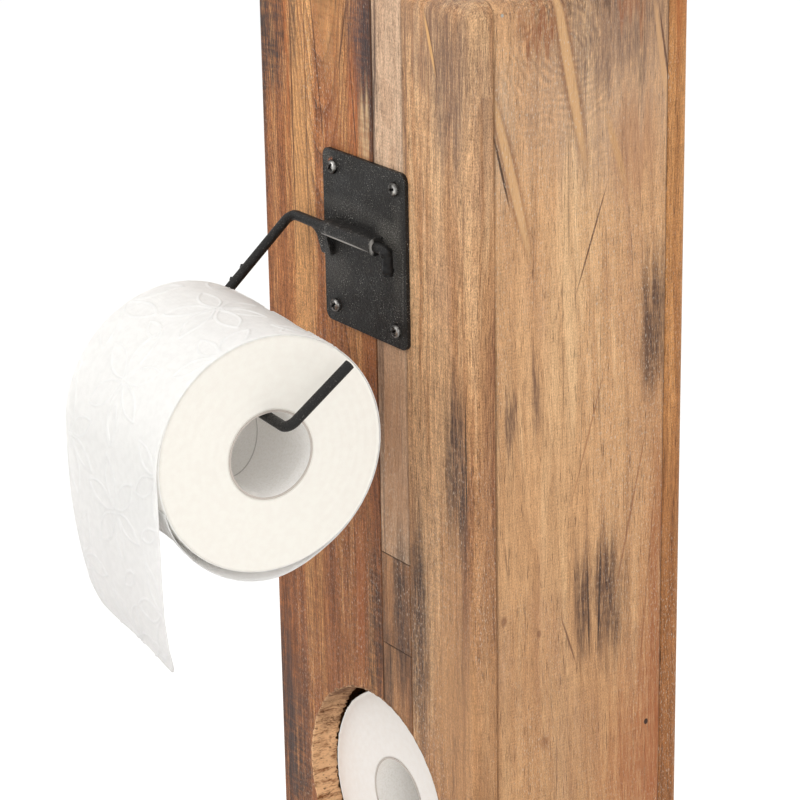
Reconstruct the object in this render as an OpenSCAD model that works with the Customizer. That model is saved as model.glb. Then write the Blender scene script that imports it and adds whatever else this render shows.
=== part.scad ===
// Free-standing toilet roll holder: a hollow post of sawn boards with a swing-up wire arm on a
// screwed steel plate, and three round compartments for spare rolls below it.
// The origin is the middle of the post's foot, +Z is up, and the arm and the holes face -Y.

/* [Post] */
// Width of the post, left to right
post_w = 180; // [176:1:240]
// Depth of the post, front to back
post_d = 128; // [128:1:180]
// Height of the post
post_h = 778; // [760:1:1000]
// Thickness of the wall boards
board_t = 13; // [12.5:0.5:14.5]
// Rounding of the four upright edges
edge_r = 5; // [2:0.5:8]
// Rounding of the top edges
top_r = 8; // [2:0.5:8]

/* [Front boards] */
// Width of the broad board at the left of the front
front_left_w = 101; // [92:1:107]
// Width of the narrow strip that is pieced from offcuts
strip_w = 25; // [20:1:28]
// Height of the strip's first end joint above the upper hole's centre
strip_joint_1 = 142; // [110:1:200]
// Height of the strip's second end joint above the upper hole's centre
strip_joint_2 = 93; // [68:1:100]
// Width of the broad board at the left of the back
back_left_w = 92; // [70:1:110]
// Chamfer sanded on every long edge of a board
seam_ease = 0.5; // [0.3:0.1:1]

/* [Roll compartments] */
// Radius of the round holes in the front
hole_r = 60.5; // [60:0.5:62]
// How far the holes sit to the right of the post's middle
hole_shift = 2; // [0:0.5:2]
// Distance between the holes' centres
hole_pitch = 138; // [136:1:140]
// Thickness of the shelves between the compartments
shelf_t = 12; // [8:0.5:13]
// Thickness of the panel that closes the foot
base_t = 13; // [10:0.5:18]
// Side of the square battens in the corners
batten_w = 13; // [8:0.5:13]

/* [Back plate] */
// Width of the steel plate
plate_w = 70; // [66:1:80]
// Height of the steel plate
plate_h = 87; // [84:1:110]
// Thickness of the steel plate
plate_t = 2; // [1.5:0.1:2.5]
// Corner radius of the steel plate
plate_r = 4.5; // [2:0.5:8]
// Distance from the top of the post to the plate's centre
plate_drop = 131; // [100:1:150]
// How far the plate sits to the right of the pivot's middle
plate_shift = 5; // [0:0.5:6]
// Distance between the screws, left to right
screw_span_x = 52; // [46:1:56]
// Distance between the screws, up and down
screw_span_z = 70; // [60:1:76]
// Radius of the oversized screw holes in the plate
screw_hole_r = 2.5; // [2:0.1:3]
// Radius of the screw heads
screw_head_r = 3.6; // [3.3:0.1:4.5]
// Height of the screw heads
screw_head_h = 2.2; // [1.5:0.1:3]
// Radius of the screw shanks
screw_shank_r = 1.6; // [1:0.1:1.9]
// Length of the screws under the head
screw_l = 13; // [10:0.5:15]

/* [Pivot] */
// Length of the folded strap that the rod turns in
barrel_l = 42; // [36:1:46]
// Thickness of the strap
strap_t = 1.3; // [1:0.1:1.6]
// Angle by which the strap's free lip reaches round under the rod
lip_angle = 32; // [10:1:45]
// How far the pivot axis lies above the plate's centre
barrel_rise = 5.6; // [0:0.1:12]
// Gap between the rod and the plate behind it
rod_gap = 2.5; // [2.3:0.1:3]
// Radial clearance of the rod in the strap
pivot_clear = 0.08; // [0.05:0.01:0.1]
// How far the washer at the strap's right end stands out round the rod
washer_rim = 2; // [1.2:0.1:2.1]
// Thickness of the washer
washer_t = 1.2; // [0.8:0.1:1.6]

/* [Wire arm] */
// Diameter of the steel rod
rod_d = 5; // [4.5:0.1:5.5]
// Centre-line radius of the arm's bends
bend_r = 5; // [5:0.5:6]
// Centre-line radius of the tight elbow at the pivot's end
elbow_r = 4; // [3.5:0.5:5]
// Distance from the pivot's middle to the arm's first bend
arm_reach_left = 51.9; // [48:0.1:58]
// Distance from the pivot's middle to the elbow
arm_reach_right = 32; // [30:0.5:36]
// Length of the leg that hangs from the elbow
leg_l = 12; // [8:0.5:20]
// Length of the sloping arm, bend to bend
arm_l = 93; // [90:0.1:110]
// Slope of the arm below the horizontal when it rests on its stop
arm_dip = 40.5; // [36:0.1:44]
// Length of the axle that carries the roll, bend to bend
axle_l = 121; // [114:0.5:125]
// Angle by which the hand-bent axle runs out of parallel with the post
axle_skew = 5; // [0:0.1:5]
// Length of the upturned tip that keeps the roll on
tip_l = 42; // [30:0.5:50]
// Slope of the upturned tip
tip_rise = 35; // [25:1:45]

/* [Stop tab] */
// Width of the stop tab where it is welded under the rod
tab_w = 13; // [10:0.5:18]
// Length of the tab from the pivot axis to its foot
tab_l = 15.5; // [12:0.5:20]
// Thickness of the tab
tab_t = 2; // [1.5:0.1:3]
// Radius of the hollow that narrows the tab below the rod
tab_hollow_r = 4.5; // [3:0.5:6]

/* [Rolls] */
// Outer radius of a full roll
roll_r = 57.5; // [55:0.5:58]
// Width of a roll
roll_w = 98; // [92:0.5:99]
// Inner radius of the cardboard core
core_r = 20.7; // [19:0.1:22]
// Wall thickness of the cardboard core
core_t = 0.9; // [0.6:0.1:1.5]
// Gap between the spare roll and the back of the post
spare_back_gap = 3.5; // [0.5:0.5:3.5]

/* [Paper tail] */
// Thickness of the hanging sheet, two plies drawn together
tail_t = 0.6; // [0.4:0.1:1]
// Height above the roll's centre where the sheet leaves the roll
tail_start = 14; // [5:1:25]
// Straight drop of the sheet below the roll's centre
tail_drop = 58; // [30:1:90]
// Radius of the curl at the sheet's lower end
tail_curl_r = 80; // [60:1:120]
// Angle of the curl
tail_curl_angle = 27; // [10:1:35]
// Corner radius at the sheet's left foot
tail_corner_r = 12; // [4:1:20]

/* [Brads] */
// Radius of the brads
brad_r = 0.8; // [0.5:0.1:1]
// Length of the brads
brad_l = 24; // [20:0.5:26]
// Distance of the brads from the post's front and back
brad_inset = 18; // [17:0.5:24]

/* [Hidden] */

$fn = 64;
// Overrun of every cut
over = 1;
// Gap left at the strip's end joints
joint_gap = 0.3;
// Gap between soft or curved faces that only rest on each other
rest_gap = 0.3;
// Gap between the rod and the core that hangs on it, and between the tab and the plate
hang_gap = 0.1;
// Play of the battens in the shelves' notches, of a screw or brad in its hole, and of the core in the paper
notch_play = 0.1;
pilot_play = 0.05;
wound_play = 0.05;

// Walls of the post
inner_w = post_w - 2 * board_t;
inner_d = post_d - 2 * board_t;
front_y = -post_d / 2;
front_in_y = front_y + board_t;
back_in_y = post_d / 2 - board_t;
left_x = -post_w / 2;
seam_1_x = left_x + front_left_w;
seam_2_x = seam_1_x + strip_w;

// Compartments, counted up from the foot
HOLES = 3;
hole_bottoms = [for (i = [0:HOLES - 1]) base_t + i * hole_pitch];
hole_zs = [for (z = hole_bottoms) z + hole_r];
// Ends of the strip's six pieces, from the top down: two end joints, then one behind each hole
strip_ends = [post_h, hole_zs[2] + strip_joint_1, hole_zs[2] + strip_joint_2,
              hole_zs[2], hole_zs[1], hole_zs[0], 0];

// Bracket
rod_r = rod_d / 2;
plate_z = post_h - plate_drop;
plate_face_y = front_y - plate_t;
axis_y = plate_face_y - rod_gap - rod_r;
axis_z = plate_z + barrel_rise;
strap_in_r = rod_r + pivot_clear;
strap_out_r = strap_in_r + strap_t;
flange_l = plate_face_y - axis_y;
// A screw head's rim is a third of its height, and a dome rises from it
dome_h = screw_head_h * 2 / 3;
dome_r = (pow(screw_head_r, 2) + pow(dome_h, 2)) / (2 * dome_h);
recess_w = screw_head_r / 4;
recess_l = screw_head_r * 1.1;
recess_depth = screw_head_h * 0.6;
washer_r = rod_r + washer_rim;
washer_x = barrel_l / 2 + rest_gap;

// Lean of the stop tab, by which its foot's back edge comes to the plate
tab_lean = asin((flange_l - hang_gap) / norm([tab_l, tab_t / 2])) - atan2(tab_t / 2, tab_l);

// Centre line of the wire arm, from the leg's end to the tip
elbow = [arm_reach_right, axis_y, axis_z];
leg_end = elbow - [0, 0, leg_l];
shoulder = [-arm_reach_left, axis_y, axis_z];
axle_dir = [cos(axle_skew), -sin(axle_skew), 0];
axle_start = shoulder + arm_l * [0, -cos(arm_dip), -sin(arm_dip)];
axle_end = axle_start + axle_l * axle_dir;
tip_end = axle_end + tip_l * [0, cos(tip_rise), sin(tip_rise)];
arm_path = [leg_end, elbow, shoulder, axle_start, axle_end, tip_end];
bend_radii = [0, elbow_r, bend_r, bend_r, bend_r, 0];
// A bend swells a little, and the straight rod runs into it by the lap
bend_swell_share = 1.006;
bend_lap = rod_r / 10;

// Weld beads on the upper side of the sloping arm
bead_first_share = 0.4;
bead_step_share = 0.085;
bead_r = rod_r * 0.9;
bead_rise = rod_r * 0.42;
bead_lean = 35;

// Hanging roll
hang = core_r - rod_r - hang_gap;
roll_c = axle_start + (bend_r + rest_gap + roll_w / 2) * axle_dir - [0, 0, hang];
paper_in_r = core_r + core_t + wound_play;
face_ease = roll_r / 40;
// Spare roll, lying on the upper shelf with its face to the front
spare_c = [hole_shift, back_in_y - spare_back_gap - roll_w / 2, hole_bottoms[2] + roll_r + rest_gap];

// Unit vector along v
function unit(v) = v / norm(v);
// The part of v square to the unit vector u, as a unit vector
function across(v, u) = unit(v - (v * u) * u);
// Angle between two unit vectors
function turn(u, v) = acos(u * v);
// Distance from a corner of a path to where its bend begins
function bend_run(path, radii, i) =
    radii[i] == 0 ? 0
    : radii[i] * tan(turn(unit(path[i] - path[i - 1]), unit(path[i + 1] - path[i])) / 2);

// A box between two corners
module box(a, b) { translate(a) cube(b - a); }

// A rectangle in plan whose four corners are eased
module eased(x0, y0, x1, y1) {
    e = seam_ease;
    polygon([[x0 + e, y0], [x1 - e, y0], [x1, y0 + e], [x1, y1 - e],
             [x1 - e, y1], [x0 + e, y1], [x0, y1 - e], [x0, y0 + e]]);
}

// A rectangle about the origin with round corners
module rounded(w, d, r) {
    square([w, d - 2 * r], center = true);
    square([w - 2 * r, d], center = true);
    for (sx = [-1, 1], sy = [-1, 1]) translate([sx * (w / 2 - r), sy * (d / 2 - r)]) circle(r = r);
}

// An upright rectangle standing on the origin, rounded at the top only
module round_topped(w, h, r) {
    translate([-w / 2, 0]) square([w, h - r]);
    translate([-w / 2 + r, 0]) square([w - 2 * r, h]);
    for (s = [-1, 1]) translate([s * (w / 2 - r), h - r]) circle(r = r);
}

// Places an upright drawing (across, up) so that it is extruded along X or Y, about the origin
module along_x(l) { rotate([90, 0, 90]) linear_extrude(height = l, center = true) children(); }
module along_y(l) { rotate([90, 0, 0]) linear_extrude(height = l, center = true) children(); }

// The post's outside, with its rounded upright and top edges
module post_shape() {
    intersection() {
        linear_extrude(height = post_h) rounded(post_w, post_d, edge_r);
        along_y(post_d + over) round_topped(post_w, post_h, top_r);
        along_x(post_w + over) round_topped(post_d, post_h, top_r);
    }
}

// A board of the post between two plan corners and two heights
module board(x0, y0, x1, y1, z0 = 0, z1 = post_h) {
    intersection() {
        post_shape();
        translate([0, 0, z0]) linear_extrude(height = z1 - z0) eased(x0, y0, x1, y1);
    }
}

// The round holes, cut through the front wall
module roll_holes() {
    for (z = hole_zs)
        translate([hole_shift, front_y + board_t / 2, z]) rotate([90, 0, 0])
            cylinder(r = hole_r, h = board_t + 2 * over, center = true);
}

// Places its children at each screw of the plate, pointing along -Y
module at_screws() {
    for (sx = [-1, 1], sz = [-1, 1])
        translate([plate_shift + sx * screw_span_x / 2, plate_face_y, plate_z + sz * screw_span_z / 2])
            rotate([90, 0, 0]) children();
}

// The screws' pilot holes in the wall
module screw_pilots() {
    at_screws() translate([0, 0, -screw_l - pilot_play]) cylinder(r = screw_shank_r + pilot_play, h = screw_l);
}

// The brads through the side boards into the two end panels; a cut has play and starts outside the boards
module brad_rods(play = 0, out = 0) {
    l = out + brad_l + play;
    for (z = [base_t / 2, post_h - board_t / 2], sy = [-1, 1], sx = [-1, 1])
        translate([sx * (post_w / 2 + out - l / 2), sy * (post_d / 2 - brad_inset), z])
            rotate([0, 90, 0]) cylinder(r = brad_r + play, h = l, center = true, $fn = 24);
}

wood_dark = [0.60, 0.39, 0.24];
wood_mid = [0.70, 0.49, 0.31];
wood_pale = [0.79, 0.61, 0.43];
black_paint = [0.16, 0.16, 0.16];
paper_white = [0.95, 0.94, 0.92];
card_grey = [0.66, 0.63, 0.60];

// Broad board at the left of the front
module front_board_left() {
    color(wood_dark) difference() {
        board(left_x, front_y, seam_1_x, front_in_y);
        roll_holes();
        screw_pilots();
    }
}

// Board at the right of the front
module front_board_right() {
    color(wood_mid) difference() {
        board(seam_2_x, front_y, post_w / 2, front_in_y);
        roll_holes();
        screw_pilots();
    }
}

// One piece of the pieced strip, counted from the top
module front_strip(i) {
    color(i % 2 == 0 ? wood_pale : wood_mid) difference() {
        board(seam_1_x, front_y, seam_2_x, front_in_y,
              strip_ends[i + 1] + (i < 2 ? joint_gap : 0), strip_ends[i]);
        roll_holes();
        screw_pilots();
    }
}

// A side board, set between the front and the back; side is -1 at the left and 1 at the right
module side_board(side) {
    outer = side * post_w / 2;
    inner = outer - side * board_t;
    color(wood_pale) difference() {
        board(min(outer, inner), front_in_y, max(outer, inner), back_in_y);
        brad_rods(pilot_play, over);
    }
}

module back_board_left() { color(wood_mid) board(left_x, back_in_y, left_x + back_left_w, post_d / 2); }
module back_board_right() { color(wood_dark) board(left_x + back_left_w, back_in_y, post_w / 2, post_d / 2); }

// Panel set in flush at the top
module top_panel() {
    color(wood_pale) difference() {
        box([-inner_w / 2, front_in_y, post_h - board_t], [inner_w / 2, back_in_y, post_h]);
        brad_rods(pilot_play, over);
    }
}

// Panel set in flush at the foot, which is also the lowest compartment's floor
module base_panel() {
    color(wood_mid) difference() {
        box([-inner_w / 2, front_in_y, 0], [inner_w / 2, back_in_y, base_t]);
        brad_rods(pilot_play, over);
    }
}

// Shelf between two compartments, notched round the corner battens
module shelf(top) {
    color(wood_mid) translate([0, 0, top - shelf_t]) linear_extrude(height = shelf_t) difference() {
        square([inner_w, inner_d], center = true);
        for (sx = [-1, 1], sy = [-1, 1])
            translate([sx * (inner_w - batten_w) / 2, sy * (inner_d - batten_w) / 2])
                square(batten_w + 2 * notch_play, center = true);
    }
}

// Batten in a corner of the post, from the foot panel to the top panel
module batten(sx, sy) {
    color(wood_dark) translate([sx * (inner_w - batten_w) / 2, sy * (inner_d - batten_w) / 2, base_t])
        linear_extrude(height = post_h - board_t - base_t) square(batten_w, center = true);
}

module brads() { color([0.45, 0.44, 0.42]) brad_rods(); }

// Steel plate with four oversized screw holes
module back_plate() {
    color(black_paint) difference() {
        translate([plate_shift, front_y - plate_t / 2, plate_z])
            along_y(plate_t) rounded(plate_w, plate_h, plate_r);
        at_screws() translate([0, 0, -plate_t - over]) cylinder(r = screw_hole_r, h = plate_t + 2 * over);
    }
}

// One pan-head screw with a cross recess, its head's underside on the origin
module screw() {
    difference() {
        union() {
            rotate_extrude() intersection() {
                translate([0, screw_head_h - dome_r]) circle(r = dome_r, $fn = 128);
                square([screw_head_r, screw_head_h]);
            }
            translate([0, 0, -screw_l]) cylinder(r = screw_shank_r, h = screw_l + screw_head_h / 2);
        }
        for (a = [0, 90]) rotate([0, 0, a])
            translate([-recess_l / 2, -recess_w / 2, screw_head_h - recess_depth])
                cube([recess_l, recess_w, recess_depth + over]);
    }
}

module plate_screws() { color([0.35, 0.34, 0.33]) at_screws() screw(); }

// Strap folded over the rod: a flange welded to the plate, a round front and a free lip below
module pivot_strap() {
    reach = 2 * strap_out_r;
    color(black_paint) translate([0, axis_y, axis_z]) along_x(barrel_l) {
        difference() {
            circle(r = strap_out_r);
            circle(r = strap_in_r);
            polygon([[0, 0], reach * [sin(lip_angle), -cos(lip_angle)], [reach, -reach],
                     [reach, reach], [0, reach]]);
        }
        translate([0, strap_in_r]) square([flange_l, strap_t]);
    }
}

module pivot_washer() {
    color(black_paint) translate([washer_x, axis_y, axis_z]) rotate([0, 90, 0]) difference() {
        cylinder(r = washer_r, h = washer_t);
        translate([0, 0, -over]) cylinder(r = strap_in_r, h = washer_t + 2 * over);
    }
}

// Flat tab welded under the rod: it leans back, and its foot lands on the plate and stops the arm's fall
module stop_tab() {
    right = -barrel_l / 2 - rest_gap;
    left = right - tab_w;
    hollow_z = -rod_r - tab_hollow_r;
    color(black_paint) translate([0, axis_y, axis_z]) rotate([tab_lean, 0, 0]) difference() {
        along_y(tab_t) {
            translate([left + tab_hollow_r, -tab_l]) square([tab_w - tab_hollow_r, tab_l]);
            difference() {
                translate([left, hollow_z]) square([tab_hollow_r + over, -hollow_z]);
                translate([left, hollow_z]) circle(r = tab_hollow_r);
            }
        }
        translate([left - over, 0, 0]) rotate([0, 90, 0]) cylinder(r = strap_in_r, h = tab_w + 2 * over);
    }
}

// A straight length of rod between two points
module rod_run(a, b) {
    v = b - a;
    translate(a) rotate([0, acos(v[2] / norm(v)), atan2(v[1], v[0])]) cylinder(r = rod_r, h = norm(v));
}

// The bend of radius r at corner i of a path
module rod_bend(path, radii, i) {
    u = unit(path[i] - path[i - 1]);
    v = unit(path[i + 1] - path[i]);
    n = across(v, u);
    w = cross(u, n);
    c = path[i] - bend_run(path, radii, i) * u + radii[i] * n;
    multmatrix([[-n[0], u[0], w[0], c[0]], [-n[1], u[1], w[1], c[1]], [-n[2], u[2], w[2], c[2]], [0, 0, 0, 1]])
        rotate_extrude(angle = turn(u, v)) translate([radii[i], 0]) circle(r = bend_swell_share * rod_r);
}

// The bent rod: leg, elbow, pivot, sloping arm with its weld beads, axle and upturned tip
module wire_arm() {
    arm_dir = unit(axle_start - shoulder);
    up_dir = [0, -sin(arm_dip), cos(arm_dip)];
    bead_dir = cos(bead_lean) * up_dir - sin(bead_lean) * [1, 0, 0];
    color(black_paint) {
        for (i = [0:len(arm_path) - 2]) {
            d = unit(arm_path[i + 1] - arm_path[i]);
            from = bend_run(arm_path, bend_radii, i);
            upto = bend_run(arm_path, bend_radii, i + 1);
            rod_run(arm_path[i] + (from - (from > 0 ? bend_lap : 0)) * d,
                    arm_path[i + 1] - (upto - (upto > 0 ? bend_lap : 0)) * d);
        }
        for (i = [1:len(arm_path) - 2]) rod_bend(arm_path, bend_radii, i);
        for (k = [0:2])
            translate(shoulder + (bead_first_share + k * bead_step_share) * arm_l * arm_dir + bead_rise * bead_dir)
                sphere(r = bead_r, $fn = 32);
    }
}

// Moves a roll drawn along X to the axle
module at_roll() { translate(roll_c) rotate([0, 0, -axle_skew]) children(); }
// Turns a roll drawn along X to face the front of the post
module at_spare() { translate(spare_c) rotate([0, 0, -90]) children(); }

// Cardboard tube
module core() {
    rotate([0, 90, 0]) difference() {
        cylinder(r = core_r + core_t, h = roll_w, center = true, $fn = 96);
        cylinder(r = core_r, h = roll_w + 2 * over, center = true, $fn = 96);
    }
}

// Wound paper, with a slightly eased rim at both faces
module wound() {
    rotate([0, 90, 0]) rotate_extrude($fn = 128)
        polygon([[paper_in_r, -roll_w / 2], [roll_r - face_ease, -roll_w / 2],
                 [roll_r, -roll_w / 2 + face_ease], [roll_r, roll_w / 2 - face_ease],
                 [roll_r - face_ease, roll_w / 2], [paper_in_r, roll_w / 2]]);
}

module roll_core() { color(card_grey) at_roll() core(); }
module roll_paper() { color(paper_white) at_roll() wound(); }
module spare_roll_core() { color(card_grey) at_spare() core(); }
module spare_roll_paper() { color(paper_white) at_spare() wound(); }

// The hanging sheet: it leaves the roll at the front, drops straight and curls in at its foot
module paper_tail() {
    near = roll_r + rest_gap;
    far = near + tail_t;
    c = tail_curl_r;
    foot = tail_drop + (c + tail_t) * sin(tail_curl_angle);
    color(paper_white) at_roll() intersection() {
        along_x(roll_w) {
            intersection() {
                difference() { circle(r = far, $fn = 128); circle(r = near, $fn = 128); }
                translate([-far, 0]) square([near, tail_start]);
            }
            translate([-far, -tail_drop]) square([tail_t, tail_drop]);
            translate([c - near, -tail_drop]) intersection() {
                difference() { circle(r = c + tail_t, $fn = 128); circle(r = c, $fn = 128); }
                polygon([[0, 0], 2 * c * [-1, 0], 2 * c * [-cos(tail_curl_angle), -sin(tail_curl_angle)]]);
            }
        }
        along_y(4 * far) {
            translate([-roll_w / 2 + tail_corner_r, -foot - over]) square([roll_w - tail_corner_r, foot + far]);
            translate([-roll_w / 2, -foot + tail_corner_r]) square([roll_w, foot + far]);
            translate([-roll_w / 2 + tail_corner_r, -foot + tail_corner_r]) circle(r = tail_corner_r);
        }
    }
}

front_board_left();
front_board_right();
front_strip(0);  // front_strip_1
front_strip(1);  // front_strip_2
front_strip(2);  // front_strip_3
front_strip(3);  // front_strip_4
front_strip(4);  // front_strip_5
front_strip(5);  // front_strip_6
side_board(-1);  // side_board_left
side_board(1);  // side_board_right
back_board_left();
back_board_right();
top_panel();
base_panel();
shelf(hole_bottoms[2]);  // shelf_upper
shelf(hole_bottoms[1]);  // shelf_lower
batten(-1, -1);  // batten_front_left
batten(1, -1);  // batten_front_right
batten(-1, 1);  // batten_back_left
batten(1, 1);  // batten_back_right
brads();
back_plate();
plate_screws();
pivot_strap();
pivot_washer();
stop_tab();
wire_arm();
roll_core();
roll_paper();
paper_tail();
spare_roll_core();
spare_roll_paper();
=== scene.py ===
"""Looks of a free-standing toilet roll holder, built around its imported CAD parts.

The post's boards and the rolls' cores stay CAD nodes and only get a material. The bracket's plates are copies of
their nodes with softened edges. The rod, the screws, the wound rolls and the hanging sheet are made anew here,
in the places of the nodes that they stand for.
"""

import logging
import math
from dataclasses import dataclass, field
from enum import Enum
from typing import Any, Sequence

import bmesh
import bpy
import numpy as np
from mathutils import Matrix, Vector

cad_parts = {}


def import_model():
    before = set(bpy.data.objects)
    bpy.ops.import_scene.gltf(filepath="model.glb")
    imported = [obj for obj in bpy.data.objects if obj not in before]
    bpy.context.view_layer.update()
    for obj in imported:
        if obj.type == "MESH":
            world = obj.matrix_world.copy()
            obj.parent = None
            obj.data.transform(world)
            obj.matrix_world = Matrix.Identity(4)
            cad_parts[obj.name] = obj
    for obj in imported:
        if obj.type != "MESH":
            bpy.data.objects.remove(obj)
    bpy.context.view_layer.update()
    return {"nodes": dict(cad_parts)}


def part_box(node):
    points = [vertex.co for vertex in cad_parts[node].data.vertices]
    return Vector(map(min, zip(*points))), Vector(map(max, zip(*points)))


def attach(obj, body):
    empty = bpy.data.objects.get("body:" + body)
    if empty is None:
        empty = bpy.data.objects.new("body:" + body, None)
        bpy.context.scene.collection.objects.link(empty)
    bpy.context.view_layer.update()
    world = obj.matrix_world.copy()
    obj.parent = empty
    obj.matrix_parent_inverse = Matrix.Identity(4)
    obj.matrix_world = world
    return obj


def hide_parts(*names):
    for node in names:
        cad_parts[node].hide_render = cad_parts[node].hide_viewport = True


log = logging.getLogger("roll_holder")

MM = 0.001
Triple = tuple[float, float, float]

# The front face and the right face in mm, and how deep a mark on either of them goes into the boards.
FRONT_Y = -64.0
SIDE_X = 90.0
THROUGH = 30.0

# A wave texture at scale 1 repeats after this many metres.
WAVE_PERIOD = math.tau / 20.0

COORDINATES = "ShaderNodeTexCoord"
NOISE = "ShaderNodeTexNoise"
WAVE = "ShaderNodeTexWave"
MAPPING = "ShaderNodeMapping"
ATTRIBUTE = "ShaderNodeAttribute"
VECTOR = "ShaderNodeVectorMath"
MATHS = "ShaderNodeMath"
RANGE = "ShaderNodeMapRange"
MIX = "ShaderNodeMix"
BUMP = "ShaderNodeBump"
SPLIT = "ShaderNodeSeparateXYZ"
JOIN = "ShaderNodeCombineXYZ"


class Body(Enum):
    """Moving bodies of the CAD part."""

    POST = "post"
    ARM = "arm"
    ROLL = "roll"
    SPARE = "spare_roll"


def srgb(code: str) -> tuple[float, float, float, float]:
    """Linear RGBA of a colour written as a six-digit sRGB hex code."""
    parts = [int(code[i : i + 2], 16) / 255.0 for i in (0, 2, 4)]
    return tuple(c / 12.92 if c <= 0.04045 else ((c + 0.055) / 1.055) ** 2.4 for c in parts) + (1.0,)


def feed(tree: bpy.types.NodeTree, node: Any, inputs: dict[Any, Any]) -> None:
    """Sets a node's inputs to values, or links them to other nodes' outputs.

    Args:
        tree: Tree that holds the node.
        node: The node.
        inputs: Values or outputs, by socket name or number.
    """
    for key, value in inputs.items():
        if isinstance(value, bpy.types.NodeSocket):
            tree.links.new(value, node.inputs[key])
        else:
            node.inputs[key].default_value = value


def put(tree: bpy.types.NodeTree, kind: str, inputs: dict[Any, Any] | None = None, out: Any = 0, **props: Any) -> Any:
    """Adds a node to a tree.

    Args:
        tree: Shader or geometry tree.
        kind: Blender's name of the node type.
        inputs: Values, or other nodes' outputs, by socket name or number.
        out: Name or number of the output to return.
        **props: Settings of the node, made before its inputs.

    Returns:
        The asked output, or the node itself if it has none.
    """
    node = tree.nodes.new(kind)
    for key, value in props.items():
        setattr(node, key, value)
    feed(tree, node, inputs or {})
    return node.outputs[out] if len(node.outputs) else node


def stretched(tree: bpy.types.NodeTree, where: Any, scale: Triple, detail: float = 2.0, out: Any = 0) -> Any:
    """Adds noise whose features are 1/scale metres long along x, y and z.

    Args:
        tree: Shader or geometry tree.
        where: Output with the place.
        scale: The three scales.
        detail: Finer layers of noise.
        out: 0 for one value, 1 for a colour or vector.

    Returns:
        The noise node's output.
    """
    spread = put(tree, VECTOR, {0: where, 1: scale}, operation="MULTIPLY")
    return put(tree, NOISE, {"Vector": spread, "Scale": 1.0, "Detail": detail}, out)


def linked(name: str, data: Any) -> bpy.types.Object:
    """Makes an object of some data and puts it in the scene.

    Args:
        name: Name of the object.
        data: Mesh, camera or lamp.

    Returns:
        The object.
    """
    thing = bpy.data.objects.new(name, data)
    bpy.context.scene.collection.objects.link(thing)
    return thing


def mesh_object(name: str, points: Any, faces: Sequence[Sequence[int]]) -> bpy.types.Object:
    """Makes a smooth object with outward faces.

    Args:
        name: Name of the object.
        points: Places of its corners in metres.
        faces: Corners of each face, by number.

    Returns:
        The object.
    """
    mesh = bpy.data.meshes.new(name)
    mesh.from_pydata([tuple(p) for p in points], [], faces)
    work = bmesh.new()
    work.from_mesh(mesh)
    bmesh.ops.recalc_face_normals(work, faces=work.faces)
    work.to_mesh(mesh)
    work.free()
    mesh.polygons.foreach_set("use_smooth", [True] * len(mesh.polygons))
    return linked(name, mesh)


def bake(thing: bpy.types.Object) -> bpy.types.Object:
    """Turns an object's modifiers into plain mesh.

    Args:
        thing: The object.

    Returns:
        The same object.
    """
    graph = bpy.context.evaluated_depsgraph_get()
    mesh = bpy.data.meshes.new_from_object(thing.evaluated_get(graph))
    thing.modifiers.clear()
    thing.data = mesh
    return thing


def grow(thing: bpy.types.Object, tree: bpy.types.NodeTree, values: dict[str, Any]) -> bpy.types.Object:
    """Runs a geometry tree on an object.

    Args:
        thing: Object that holds the starting geometry.
        tree: Geometry node group.
        values: Its inputs by name.

    Returns:
        The same object with a plain mesh.
    """
    modifier = thing.modifiers.new("grow", "NODES")
    modifier.node_group = tree
    for item in tree.interface.items_tree:
        if item.name in values:
            modifier[item.identifier] = values[item.name]
    return bake(thing)


def recipe(name: str, inputs: dict[str, str]) -> tuple[bpy.types.NodeTree, Any]:
    """Starts a geometry tree.

    Args:
        name: Name of the node group.
        inputs: Socket types, such as "Float", by input name.

    Returns:
        The tree and the outputs of its input node.
    """
    tree = bpy.data.node_groups.new(name, "GeometryNodeTree")
    tree.interface.new_socket("Geometry", in_out="INPUT", socket_type="NodeSocketGeometry")
    for key, kind in inputs.items():
        tree.interface.new_socket(key, in_out="INPUT", socket_type=f"NodeSocket{kind}")
    tree.interface.new_socket("Geometry", in_out="OUTPUT", socket_type="NodeSocketGeometry")
    return tree, tree.nodes.new("NodeGroupInput").outputs


def serve(tree: bpy.types.NodeTree, geometry: Any, material: Any) -> None:
    """Ends a geometry tree: instances become mesh, and the mesh gets its material.

    Args:
        tree: Geometry tree.
        geometry: Output with the geometry so far.
        material: Output with the material.
    """
    real = put(tree, "GeometryNodeRealizeInstances", {0: geometry})
    painted = put(tree, "GeometryNodeSetMaterial", {"Geometry": real, "Material": material})
    put(tree, "NodeGroupOutput", {0: painted})


def fit(piece: bpy.types.Object, body: Body, slot: str, *nodes: str) -> None:
    """Puts a finished piece on its body.

    Args:
        piece: The piece.
        body: The body that it rides.
        slot: Its material slot; not used.
        *nodes: The CAD nodes that it replaces, if any.
    """
    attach(piece, body.value)
    if nodes:
        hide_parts(*nodes)
    log.info("%s: %d faces on %s", piece.name, len(piece.data.polygons), body.value)


def dress(piece: bpy.types.Object, material: bpy.types.Material) -> None:
    """Gives a piece one material."""
    piece.data.materials.clear()
    piece.data.materials.append(material)
    log.info("%s: %s", piece.name, material.name)


@dataclass(frozen=True)
class Finish:
    """A finish of the object, which makes its own material."""

    name: str

    def begin(self) -> tuple[bpy.types.Material, bpy.types.NodeTree, Any, Any]:
        """Starts the material.

        Returns:
            The material, its tree, its shader node and the output with the place in the object's frame.
        """
        made = bpy.data.materials.new(self.name)
        made.use_nodes = True
        tree = made.node_tree
        return made, tree, tree.nodes["Principled BSDF"], put(tree, COORDINATES, out="Object")


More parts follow.
